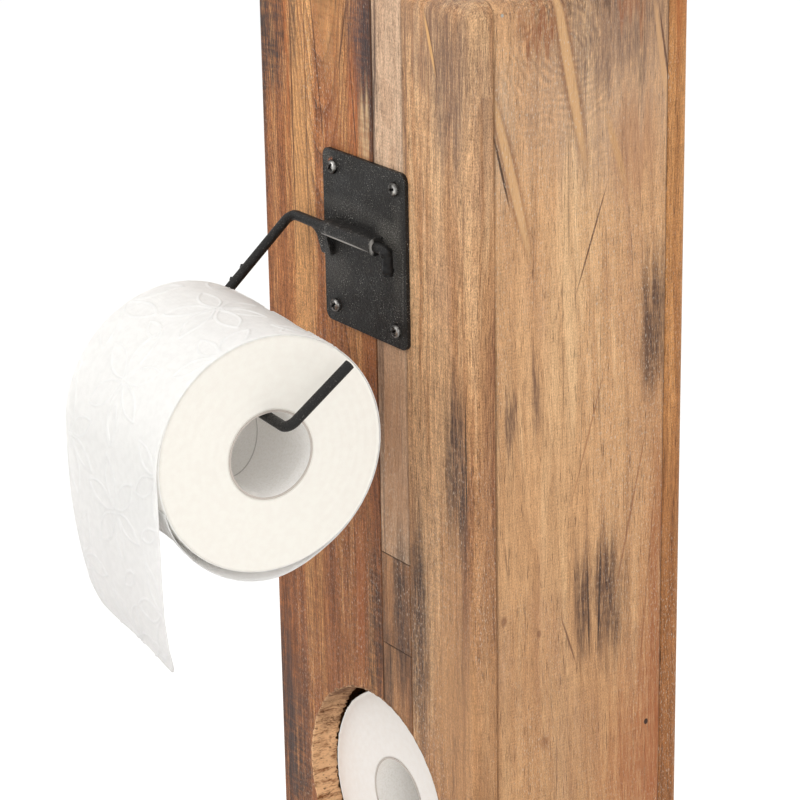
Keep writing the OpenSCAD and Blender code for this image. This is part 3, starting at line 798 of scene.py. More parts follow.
@dataclass(frozen=True)
class PostBoards:
    """The post's boards, panels, shelves, battens and brads, which all stay CAD nodes."""

    left_marks: tuple[Mark, ...] = (
        Mark.front(-28.0, 764.0, 13.0, 38.0, "CF9A63", 0.6),
        Mark.front(-52.0, 690.0, 9.0, 60.0, "D39C64", 0.45),
        Mark.front(-22.0, 700.0, 10.0, 26.0, "8E4F2B", 0.6),
        Mark.front(-76.0, 742.0, 12.0, 30.0, "3A302F", 0.9),
        Mark.front(-86.0, 735.0, 5.0, 46.0, "2C2728", 0.9),
        Mark.front(1.0, 752.0, 10.0, 34.0, "4B4042", 0.85),
        Mark.front(7.5, 750.0, 4.0, 40.0, "2E2729", 0.85),
        Mark.front(9.0, 700.0, 2.0, 80.0, SCORCH, 0.7),
        Mark.front(-5.0, 712.0, 3.5, 26.0, ORANGE, 0.75),
        Mark.front(-63.0, 728.0, 0.9, 50.0, "B9662F", 0.6),
        Mark.front(-58.0, 752.0, 2.2, 24.0, SCORCH, 0.7),
        Mark.front(3.5, 706.0, 3.6, 19.0, "DDBB90", 0.95),
        Mark.front(-87.0, 400.0, 3.0, 60.0, "2E2A2B", 0.9),
        Mark.front(-72.0, 345.0, 14.0, 66.0, "3E332F", 0.95),
        Mark.front(-78.5, 385.0, 5.0, 62.0, "39302F", 0.9),
        Mark.front(-80.0, 560.0, 3.0, 70.0, SCORCH, 0.5),
        Mark.front(5.0, 446.0, 6.5, 54.0, "2E211B", 0.95),
        Mark.front(-7.5, 458.0, 3.5, 36.0, ORANGE, 0.65),
        Mark.front(-40.0, 450.0, 40.0, 90.0, "6E4328", 0.55),
        Mark.front(-59.3, 705.0, 0.5, 75.0, "4A2717", 0.85, soft=0.8, crisp=True),
        Mark.front(-47.0, 690.0, 0.4, 82.0, "52301C", 0.8, 0.3, 0.8, True),
        Mark.front(-36.5, 730.0, 0.5, 42.0, "4A2717", 0.85, -7.0, 0.8, True),
        Mark.front(-13.0, 748.0, 0.6, 20.0, "4A2717", 0.8, 13.5, 0.8, True),
        Mark.front(-5.0, 712.0, 0.4, 26.0, "3E2418", 0.85, -5.5, 0.8, True),
        Mark.front(-12.0, 585.0, 0.5, 34.0, "4A2717", 0.7, -16.0, 0.8, True),
    )
    strip_marks: tuple[Mark, ...] = (
        Mark.front(24.0, 545.0, 14.0, 60.0, "C08D62", 0.6),
        Mark.front(28.0, 462.0, 7.0, 40.0, "302422", 0.92),
        Mark.front(16.0, 425.0, 4.0, 34.0, "302422", 0.8),
        Mark.front(13.0, 745.0, 2.5, 40.0, SCORCH, 0.8),
        Mark.front(13.0, 620.0, 1.8, 170.0, SCORCH, 0.6),
        Mark.front(24.0, 491.5, 14.0, 0.5, "3E281B", 0.6, soft=0.9, crisp=True),
        Mark.front(24.0, 442.5, 14.0, 0.5, "3E281B", 0.6, soft=0.9, crisp=True),
    )
    right_marks: tuple[Mark, ...] = (
        Mark.front(73.0, 746.0, 17.0, 36.0, GREY_SCORCH, 0.8),
        Mark.front(50.0, 758.0, 13.0, 17.0, "8A6B57", 0.65),
        Mark.front(76.0, 553.0, 9.0, 44.0, "3A2B29", 0.95),
        Mark.front(84.0, 562.0, 0.5, 30.0, "1C1512", 0.95, soft=0.6, crisp=True),
        Mark.front(43.0, 460.0, 9.0, 58.0, SCORCH, 0.85),
        Mark.front(38.0, 700.0, 1.6, 70.0, GREY_SCORCH, 0.6),
        Mark.front(72.0, 430.0, 20.0, 70.0, "CFA173", 0.4),
        Mark.front(60.4, 754.0, 0.8, 15.0, "55372A", 0.8, -17.0, 0.8, True),
        Mark.front(58.8, 756.0, 1.1, 13.0, "DDAA70", 0.9, -17.0, 0.8, True),
        Mark((88.0, -58.0, 470.0), (2.0, 3.0, 4.0), SCORCH, 0.7),
    )
    side_marks: tuple[Mark, ...] = (
        Mark.side(16.0, 730.0, 50.0, 44.0, "A98E7B", 0.55),
        Mark.side(20.0, 758.0, 38.0, 22.0, GREY_SCORCH, 0.6),
        Mark.side(-25.0, 764.0, 11.0, 8.0, "8E5636", 0.85),
        Mark.side(28.0, 768.0, 9.0, 9.0, "A2603A", 0.6),
        Mark.side(6.0, 777.0, 46.0, 5.0, "5C4336", 0.8),
        Mark.side(30.0, 700.0, 12.0, 20.0, "B4774A", 0.4),
        Mark.side(-46.0, 715.0, 5.0, 34.0, LIME, 0.55),
        Mark.side(44.0, 613.0, 8.5, 32.0, "4A332B", 0.95),
        Mark.side(1.5, 476.0, 5.0, 29.0, "4E352B", 0.95),
        Mark.side(17.5, 475.0, 8.5, 33.0, "4E352B", 1.0),
        Mark.side(4.6, 470.0, 0.6, 24.0, "33211B", 0.85, 2.0, 0.8, True),
        Mark.side(11.4, 474.0, 0.6, 28.0, "33211B", 0.85, -1.5, 0.8, True),
        Mark.side(-7.5, 456.0, 0.5, 13.0, "6A4632", 0.8, 18.9, 0.8, True),
        Mark.side(51.0, 430.0, 11.0, 120.0, "985730", 0.85),
        Mark.side(40.0, 350.0, 24.0, 80.0, "A5613A", 0.75),
        Mark.side(-46.8, 476.4, 1.8, 2.4, "7A4E34", 0.7, soft=1.2, crisp=True),
        Mark.side(-25.7, 464.4, 1.3, 1.9, "7A4E34", 0.7, soft=1.2, crisp=True),
        Mark.side(-22.1, 405.2, 2.6, 3.4, "8E5E3E", 0.6, soft=1.6, crisp=True),
        Mark.side(4.5, 562.0, 0.5, 32.0, "94623F", 0.6, -17.0, 0.8, True),
        Mark.side(30.0, 512.0, 0.55, 46.0, "8A5838", 0.65, -12.7, 0.8, True),
        Mark.side(41.0, 470.0, 0.5, 60.0, "8A5838", 0.5, -5.0, 0.8, True),
        Mark.side(20.0, 699.0, 1.9, 18.0, "CE9E6C", 0.65, 18.6, 1.0, True),
        Mark.side(49.6, 736.0, 0.6, 28.0, "5A3A2C", 0.85, 10.0, 0.8, True),
        Mark.side(47.0, 738.0, 1.5, 28.0, "D2A478", 0.85, 10.0, 0.8, True),
        Mark.side(-40.6, 583.0, 3.0, 13.0, "5A4036", 0.8),
        Mark.side(-28.3, 588.0, 3.6, 17.0, "5A4036", 0.75),
        Mark.side(-8.0, 741.0, 4.6, 46.0, "80502F", 0.6, 11.6, 0.8, True),
        Mark.side(-8.0, 741.0, 2.7, 44.0, "D8AA7A", 0.92, 11.6, 0.6, True),
        Mark.side(-41.5, 697.0, 4.2, 42.0, "80502F", 0.6, 14.5, 0.8, True),
        Mark.side(-41.5, 697.0, 2.4, 40.0, "D8AA7A", 0.92, 14.5, 0.6, True),
        Mark.side(-47.0, 700.0, 0.6, 17.0, "3A241A", 0.9, 14.0, 0.8, True),
        Mark.side(5.3, 658.0, 0.45, 25.0, "5A3A28", 0.9, -19.6, 0.8, True),
        Mark.side(42.0, 398.0, 1.2, 1.6, "241712", 0.95, soft=0.4, crisp=True),
        Mark.side(42.0, 392.0, 0.8, 5.0, "4A3022", 0.6),
    )
    back_marks: tuple[Mark, ...] = (
        Mark((-40.0, 64.0, 640.0), (14.0, 30.0, 60.0), SCORCH, 0.6),
        Mark((50.0, 64.0, 300.0), (18.0, 30.0, 80.0), GREY_SCORCH, 0.6),
        Mark((86.0, 60.0, 770.0), (6.0, 8.0, 30.0), ORANGE, 0.6),
    )
    far_marks: tuple[Mark, ...] = (
        Mark((-90.0, -20.0, 600.0), (30.0, 10.0, 60.0), GREY_SCORCH, 0.7),
        Mark((-90.0, 24.0, 260.0), (30.0, 8.0, 44.0), SCORCH, 0.7),
    )

    def finishes(self) -> dict[str, SawnTeak]:
        """Chooses the boards' finishes.

        Returns:
            The finish of each board, by node name.
        """
        found = {
            "front_board_left": SawnTeak(
                "teak_left_plank", "D29A63", "AC6D3F", "703E20", 0.31, spread=0.75, pith=(-52.0, -86.0, 0.0),
                lean=(1.6, 0.9, 0.0), ring=9.0, ring_share=0.14, contrast=1.35, seams=(0.0, 0.9), hatch=0.4,
                marks=self.left_marks, arches=Arches(-28.0, 6.0, 727.0, 26.0)),
            "front_board_right": SawnTeak(
                "teak_right_plank", "D4AA7F", "BE8E63", "825236", 1.73, spread=0.62, pith=(140.0, -30.0, 0.0),
                lean=(1.0, 1.5, 0.0), ring_share=0.3, contrast=1.15, seams=(0.3, 0.0), marks=self.right_marks),
            "side_board_right": SawnTeak(
                "teak_side_plank", "E3BA8C", "D6A678", "A97A54", 2.47, contrast=0.8, spread=0.32, across=1,
                pith=(130.0, -10.0, 0.0), lean=(2.4, 0.6, 0.0), ring=6.5, ring_share=0.3, seams=(0.6, 0.9),
                marks=self.side_marks, arcs=SawArcs((SIDE_X, -9.0, 754.0))),
            "side_board_left": SawnTeak(
                "teak_far_side", "D2A577", "BC8B5E", "956541", 3.91, across=1, pith=(-120.0, 30.0, 0.0),
                lean=(-2.0, 0.5, 0.0), marks=self.far_marks),
            "back_board_left": SawnTeak(
                "teak_back_left", "C79362", "AF784B", "85532F", 4.37, seams=(0.0, 0.9), pith=(-70.0, 110.0, 0.0),
                lean=(1.5, -1.0, 0.0), ring=7.0, ring_share=0.45, marks=self.back_marks),
            "back_board_right": SawnTeak(
                "teak_back_right", "C98F58", "B37A49", "87522B", 5.13, seams=(0.9, 0.0), pith=(30.0, 90.0, 0.0),
                lean=(-1.2, 1.4, 0.0), ring_share=0.45, marks=self.back_marks),
            "top_panel": SawnTeak("teak_top", "D0A476", "B98A5E", "926543", 6.71, across=1, lying=True,
                                  pith=(860.0, -20.0, 0.0), ring_share=0.35),
            "base_panel": SawnTeak("teak_base", "C0915F", "A5754A", "805433", 7.19, across=1, lying=True,
                                   pith=(-60.0, 30.0, 0.0)),
        }
        # The strip is pieced from offcuts, of which two are of a lighter wood. Each piece has a seed of its own.
        for number in range(1, 7):
            woods = ("D9BCA0", "CBA98B", "A98163") if number in (1, 5) else ("C99B70", "AC7C55", "754A2D")
            found[f"front_strip_{number}"] = SawnTeak(
                f"teak_strip_{number}", *woods, 8.0 + 1.37 * number, spread=0.32, contrast=0.9, seams=(0.9, 0.35),
                pith=(24.0, -150.0, 0.0), lean=(0.5, 0.5, 0.0), ring=5.0, ring_share=0.3, marks=self.strip_marks)
        for name in ("shelf_upper", "shelf_lower", "batten_front_left", "batten_front_right", "batten_back_left",
                     "batten_back_right"):
            found[name] = SawnTeak(f"teak_{name}", "B98A5B", "9C6C45", "71492B", 17.0 + 0.83 * len(name), across=1,
                                   lying="shelf" in name)
        return found

    def build(self, nodes: dict[str, bpy.types.Object]) -> None:
        """Gives each board its own finish.

        Args:
            nodes: CAD objects by name.
        """
        for name, finish in self.finishes().items():
            dress(nodes[name], finish.material(*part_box(name)))
        dress(nodes["brads"], WornSteel("brad_steel_dull", "B5AFA6", 0.45).material())


@dataclass(frozen=True)
class TornHoles:
    """Torn wood in the three round holes: ridged walls, fibres hanging from the back edge and a chipped lip.

    Lengths are in mm. The lining lies "skin" inside the CAD's bore and stands "proud" of the front face.
    """

    x: float = 2.0
    levels: tuple[float, ...] = (73.5, 211.5, 349.5)
    radius: float = 60.5
    front: float = FRONT_Y
    depth: float = 13.0
    tear: float = 1.9
    lip: float = 0.8
    ridges: float = 0.7
    fringe: float = 2.6
    skin: float = 0.05
    proud: float = 0.08

    def recipe(self) -> bpy.types.NodeTree:
        """Rolls a strip into a lining, sets it in each hole and tears it with noise.

        Returns:
            The geometry tree.
        """
        tree, given = recipe("torn_hole_linings", {
            "Radius": "Float", "Depth": "Float", "Tear": "Float", "Lip": "Float", "Roughness": "Float",
            "Fringe": "Float", "Material": "Material"})
        strip = put(tree, "GeometryNodeMeshGrid", {"Size X": 1.0, "Size Y": 1.0, "Vertices X": 421, "Vertices Y": 20})
        place = put(tree, SPLIT, {0: put(tree, "GeometryNodeInputPosition")}, "X").node.outputs
        angle = put(tree, MATHS, {0: place["X"], 1: math.tau}, operation="MULTIPLY")
        inward = put(tree, RANGE, {0: place["Y"], 1: -0.5, 2: 0.3})
        flare = put(tree, RANGE, {0: place["Y"], 1: 0.3, 2: 0.5})
        reach = put(tree, MATHS, {0: flare, 1: given["Lip"], 2: given["Radius"]},
                    operation="MULTIPLY_ADD")
        spoke = put(tree, JOIN, {0: put(tree, MATHS, {0: angle}, operation="COSINE"),
                                 2: put(tree, MATHS, {0: angle}, operation="SINE")})
        back = put(tree, MATHS, {0: put(tree, MATHS, {0: 1.0, 1: inward}, operation="SUBTRACT"),
                                 1: given["Depth"]}, operation="MULTIPLY")
        rolled = put(tree, VECTOR, {0: spoke, 1: reach, 2: put(tree, JOIN, {1: back})}, operation="MULTIPLY_ADD")
        kinds = {"spoke": "FLOAT_VECTOR", "flare": "FLOAT", "inward": "FLOAT"}
        lining = strip
        for (key, kind), value in zip(kinds.items(), (spoke, flare, inward)):
            lining = put(tree, "GeometryNodeStoreNamedAttribute", {"Geometry": lining, "Name": key, "Value": value},
                         data_type=kind)
        lining = put(tree, "GeometryNodeSetPosition", {"Geometry": lining, "Position": rolled})
        lining = put(tree, "GeometryNodeMergeByDistance", {"Geometry": lining, "Distance": 0.01 * MM})
        linings = put(tree, "GeometryNodeRealizeInstances", {0: put(tree, "GeometryNodeInstanceOnPoints", {
            "Points": given["Geometry"], "Instance": lining})})
        here = put(tree, "GeometryNodeInputPosition")
        out, edge, deep = (put(tree, "GeometryNodeInputNamedAttribute", {"Name": key}, data_type=kind)
                           for key, kind in kinds.items())
        height = put(tree, SPLIT, {0: out}, "Z")
        # The walls are roughest above and beside each hole's middle, and the ridges stop short of the lip.
        upper = put(tree, RANGE, {0: height, 1: -0.45, 2: 0.2, 3: 0.15})
        ridges = stretched(tree, here, (330.0, 60.0, 330.0), 4.0)
        ridges = put(tree, RANGE, {0: ridges, 1: 0.3, 2: 0.7})
        ridges = put(tree, MATHS, {0: ridges, 1: put(tree, MATHS, {0: given["Roughness"], 1: upper},
                                                     operation="MULTIPLY")}, operation="MULTIPLY")
        flat = put(tree, MATHS, {0: 1.0, 1: edge}, operation="SUBTRACT")
        ridges = put(tree, MATHS, {0: ridges, 1: flat}, operation="MULTIPLY")
        # Fibres that the saw pushed inwards stand off the back edge at the sides, and leave the top and foot clear.
        beside = put(tree, MATHS, {0: put(tree, RANGE, {0: height, 1: 0.95, 2: 0.6}),
                                   1: put(tree, RANGE, {0: height, 1: -0.5, 2: -0.1})}, operation="MULTIPLY")
        fringe = put(tree, RANGE, {0: stretched(tree, here, (260.0, 0.0, 260.0), 4.0), 1: 0.35, 2: 0.65, 3: 0.55})
        fringe = put(tree, MATHS, {0: put(tree, MATHS, {0: fringe, 1: beside}, operation="MULTIPLY"),
                                   1: put(tree, RANGE, {0: deep, 1: 0.35, 2: 0.0})}, operation="MULTIPLY")
        ridges = put(tree, MATHS, {0: fringe, 1: given["Fringe"], 2: ridges}, operation="MULTIPLY_ADD")
        # The lip is chipped outwards and inwards.
        chips = put(tree, RANGE, {0: stretched(tree, here, (190.0, 0.0, 190.0), 5.0), 1: 0.40, 2: 0.68, 3: -0.8,
                                  4: 0.8})
        chips = put(tree, MATHS, {0: chips, 1: put(tree, MATHS, {0: edge, 1: given["Lip"]},
                                                   operation="MULTIPLY")}, operation="MULTIPLY")
        shift = put(tree, VECTOR, {0: out, "Scale": put(tree, MATHS, {0: chips, 1: ridges}, operation="SUBTRACT")},
                    operation="SCALE")
        # Torn fibres also lengthen the wall backwards.
        hang = put(tree, RANGE, {0: stretched(tree, here, (500.0, 0.0, 500.0), 3.0), 1: 0.35, 2: 0.65})
        hang = put(tree, MATHS, {0: put(tree, MATHS, {0: hang, 1: given["Tear"]}, operation="MULTIPLY"),
                                 1: put(tree, RANGE, {0: deep, 1: 0.12, 2: 0.0})}, operation="MULTIPLY")
        shift = put(tree, VECTOR, {0: shift, 1: put(tree, JOIN, {1: hang})}, operation="ADD")
        torn = put(tree, "GeometryNodeSetPosition", {"Geometry": linings, "Offset": shift})
        serve(tree, put(tree, "GeometryNodeSetShadeSmooth", {0: torn}), given["Material"])
        return tree

    def build(self) -> None:
        """Lines the holes."""
        spots = [(self.x * MM, (self.front - self.proud) * MM, z * MM) for z in self.levels]
        lining = grow(mesh_object("torn_hole_linings", spots, []), self.recipe(), {
            "Radius": (self.radius - self.skin) * MM, "Depth": self.depth * MM, "Tear": self.tear * MM,
            "Lip": self.lip * MM, "Roughness": self.ridges * MM, "Fringe": self.fringe * MM,
            "Material": TornTeak("teak_torn_by_saw").material()})
        fit(lining, Body.POST, "teak_mid")


@dataclass(frozen=True)
class Screw:
    """A pan-head screw with a cross recess. Lengths are in mm."""

    head: float = 3.6
    rise: float = 2.2
    shank: float = 1.55
    length: float = 13.0
    point: float = 2.5
    recess: float = 1.5
    cross: float = 2.1
    blade: float = 0.55
    around: int = 96
    rings: int = 25

    def mesh(self) -> bpy.types.Object:
        """Makes one screw whose head's flat lies on z=0 and whose shank points down.

        Returns:
            The screw. Its attribute "sunk" says how hollow each point is, and a second attribute how bright, as a
            painted highlight on one side of the head.
        """
        around, points, faces = self.around, [], []
        radii = np.linspace(0.0, 1.0, self.rings + 1)[1:]
        points.append((0.0, 0.0, self.height(0.0, 0.0)))
        for share in radii:
            for k in range(around):
                a = math.tau * k / around
                x, y = share * self.head * math.cos(a), share * self.head * math.sin(a)
                points.append((x, y, self.height(x, y)))
        outline = [(self.head, 0.0), (self.shank, 0.0), (self.shank, -self.length + self.point), (0.05, -self.length)]
        for radius, z in outline:
            points += [(radius * math.cos(math.tau * k / around), radius * math.sin(math.tau * k / around), z)
                       for k in range(around)]
        faces += [(0, 1 + k, 1 + (k + 1) % around) for k in range(around)]
        for ring in range(len(radii) + len(outline) - 1):
            start = 1 + ring * around
            faces += [(start + k, start + (k + 1) % around, start + around + (k + 1) % around, start + around + k)
                      for k in range(around)]
        faces.append(tuple(range(len(points) - around, len(points))))
        screw = mesh_object("screw_template", np.array(points) * MM, faces)
        for key, share in (("sunk", self.depth), ("rubbed", self.painted_highlight)):
            values = [share(x, y) if z > 0.0 else 1.0 - share(0.0, 0.0) for x, y, z in points]
            screw.data.attributes.new(key, "FLOAT", "POINT").data.foreach_set("value", values)
        return screw

    def height(self, x: float, y: float) -> float:
        """Height of the head's top at a place on it, in mm."""
        dome = self.rise * math.sqrt(max(0.0, 1.0 - (math.hypot(x, y) / self.head) ** 3.2))
        return max(0.05, dome) - self.recess * self.depth(x, y) * (1.0 - 0.3 * math.hypot(x, y) / self.cross)

    def depth(self, x: float, y: float) -> float:
        """1 in the cross recess and 0 outside it."""
        blades = min(max(abs(x) / self.cross, abs(y) / self.blade), max(abs(y) / self.cross, abs(x) / self.blade))
        return min(1.0, max(0.0, (1.12 - blades) / 0.24))

    def painted_highlight(self, x: float, y: float) -> float:
        """1 on one side of the head's shoulder, where a highlight is painted, and 0 elsewhere."""
        shoulder = math.exp(-(((math.hypot(x, y) / self.head - 0.7) / 0.17) ** 2))
        return 0.8 * shoulder * max(0.0, math.sin(math.atan2(y, x) + 0.4)) ** 2 * (1.0 - self.depth(x, y))


@dataclass(frozen=True)
class Bracket:
    """The steel plate, its screws, the folded strap and what is welded to them. Lengths are in mm."""

    face_y: float = -66.0
    screw_x: tuple[float, float] = (-21.0, 31.0)
    screw_z: tuple[float, float] = (612.0, 682.0)
    axis_z: float = 652.6
    axis_y: float = -71.0

    def softened(self, node: bpy.types.Object, width: float) -> bpy.types.Object:
        """Copies a CAD node and rounds its sharp edges.

        Args:
            node: The CAD object, which stays as it is.
            width: Width of the rounding in mm.

        Returns:
            The copy.
        """
        mesh = node.data.copy()
        work = bmesh.new()
        work.from_mesh(mesh)
        bmesh.ops.remove_doubles(work, verts=work.verts, dist=0.01 * MM)
        bmesh.ops.dissolve_limit(work, angle_limit=math.radians(1.0), verts=work.verts, edges=work.edges)
        work.to_mesh(mesh)
        work.free()
        thing = linked(f"{node.name}_soft_edges", mesh)
        bevel = thing.modifiers.new("bevel", "BEVEL")
        bevel.width, bevel.segments, bevel.limit_method = width * MM, 2, "ANGLE"
        bevel.angle_limit = math.radians(40.0)
        mesh.polygons.foreach_set("use_smooth", [True] * len(mesh.polygons))
        even = thing.modifiers.new("even", "WEIGHTED_NORMAL")
        even.weight = 100
        return bake(thing)

    def screws(self) -> bpy.types.Object:
        """Sets four screws, each turned differently, from one template.

        Returns:
            The screws as one piece.
        """
        template = Screw().mesh()
        tree, given = recipe("screws_on_points", {"Screw": "Object", "Seed": "Int", "Material": "Material"})
        shape = put(tree, "GeometryNodeObjectInfo", {"Object": given["Screw"]}, "Geometry")
        spin = put(tree, "FunctionNodeRandomValue", {2: 0.2, 3: 1.4, "Seed": given["Seed"]}, 1)
        turn = put(tree, JOIN, {0: math.pi / 2, 1: spin})
        placed = put(tree, "GeometryNodeInstanceOnPoints", {"Points": given["Geometry"], "Instance": shape,
                                                            "Rotation": turn})
        serve(tree, placed, given["Material"])
        spots = [(x * MM, self.face_y * MM, z * MM) for x in self.screw_x for z in self.screw_z]
        screws = grow(mesh_object("cross_recess_screws", spots, []), tree,
                      {"Screw": template, "Seed": 11, "Material": 
                       WornSteel("screw_steel_worn", "4C4946", 0.24, "sunk", "rubbed").material()})
        bpy.data.objects.remove(template)
        return screws

    def spatter(self, paint: bpy.types.Material) -> bpy.types.Object:
        """Scatters small beads of weld spatter on the plate, along the strap's weld.

        Args:
            paint: Material of the beads.

        Returns:
            The beads as one piece.
        """
        tree, given = recipe("weld_spatter", {"Density": "Float", "Bead": "Float", "Seed": "Int",
                                              "Material": "Material"})
        spots = put(tree, "GeometryNodeDistributePointsOnFaces", {"Mesh": given["Geometry"],
                                                                  "Density": given["Density"],
                                                                  "Seed": given["Seed"]})
        bead = put(tree, "GeometryNodeMeshIcoSphere", {"Radius": given["Bead"], "Subdivisions": 2})
        size = put(tree, "FunctionNodeRandomValue", {2: 0.35, 3: 1.0, "Seed": given["Seed"]}, 1)
        flat = put(tree, JOIN, {0: size, 1: put(tree, MATHS, {0: size, 1: 0.6}, operation="MULTIPLY"), 2: size})
        beads = put(tree, "GeometryNodeInstanceOnPoints", {"Points": spots, "Instance": bead, "Scale": flat})
        serve(tree, put(tree, "GeometryNodeSetShadeSmooth", {0: beads}), given["Material"])
        y, z = self.face_y, self.axis_z
        corners = [(-22, y, z + 4.5), (24, y, z + 4.5), (30, y, z + 13), (-20, y, z + 11)]
        patch = mesh_object("weld_spatter", np.array(corners) * MM, [(0, 1, 2, 3)])
        return grow(patch, tree, {"Density": 110000.0, "Bead": 0.45 * MM, "Seed": 5, "Material": paint})

    def build(self, nodes: dict[str, bpy.types.Object]) -> None:
        """Makes the fixed plate and what turns with the arm.

        Args:
            nodes: CAD objects by name.
        """
        y = self.face_y
        # Marks on the plate: worn paint, wood seen through the top-left screw's hole, and near the right edge a dark
        # line and a light line, partly a crack and worn paint and partly a painted shadow and a painted highlight of a
        # slight bow in the plate.
        rubbed = (
            Mark((33.0, y, 668.0), (0.5, 3.0, 7.0), "0E0D0C", 0.9, (0.0, 4.0, 0.0), 0.8),
            Mark((37.0, y, 634.0), (0.4, 3.0, 20.0), "77736D", 0.7, (0.0, 1.5, 0.0), 0.8),
            Mark((-4.0, y, 664.0), (26.0, 3.0, 4.0), "7F7B75", 0.25),
            Mark((24.0, y, 657.0), (8.0, 3.0, 7.0), "9A958C", 0.35),
            Mark((33.0, y, 650.0), (4.0, 3.0, 22.0), "7F7A72", 0.35),
            Mark((-20.0, y, 630.0), (12.0, 3.0, 8.0), "6F6A63", 0.35),
            Mark((-26.0, y, 686.0), (4.0, 3.0, 3.0), "6B675F", 0.5),
            Mark((-23.2, y, 685.2), (2.2, 3.0, 0.9), "B4622F", 0.9, (0.0, -35.0, 0.0), 0.8),
        )
        plate_paint = BlackPaint("black_paint_plate", marks=rubbed).material()
        # Marks on the strap: the bright line along the free lip and the bright crescent at the barrel's right end are
        # worn paint and also painted highlights on these edges.
        strap_wear_and_highlights = (
            Mark((-1.0, self.axis_y - 2.9, self.axis_z - 2.6), (19.0, 0.9, 0.9), "C4C1BC", 0.85, soft=0.9, crisp=True),
            Mark((22.6, self.axis_y - 2.6, self.axis_z + 0.5), (0.8, 1.2, 3.4), "BDBAB4", 0.8, crisp=True),
            Mark((-16.0, self.axis_y - 3.4, self.axis_z), (0.7, 3.0, 6.0), "6F6C68", 0.7, soft=1.0),
        )
        strap_paint = BlackPaint("black_paint_strap", "201E1C", 0.35, strap_wear_and_highlights).material()
        for name, width, paint, body in (
            ("back_plate", 0.35, plate_paint, Body.POST), ("pivot_strap", 0.2, strap_paint, Body.POST),
            ("pivot_washer", 0.2, strap_paint, Body.ARM), ("stop_tab", 0.3, plate_paint, Body.ARM),
        ):
            piece = self.softened(nodes[name], width)
            dress(piece, paint)
            fit(piece, body, "black_paint", name)
        fit(self.screws(), Body.POST, "screw_steel", "plate_screws")
        fit(self.spatter(strap_paint), Body.POST, "black_paint")


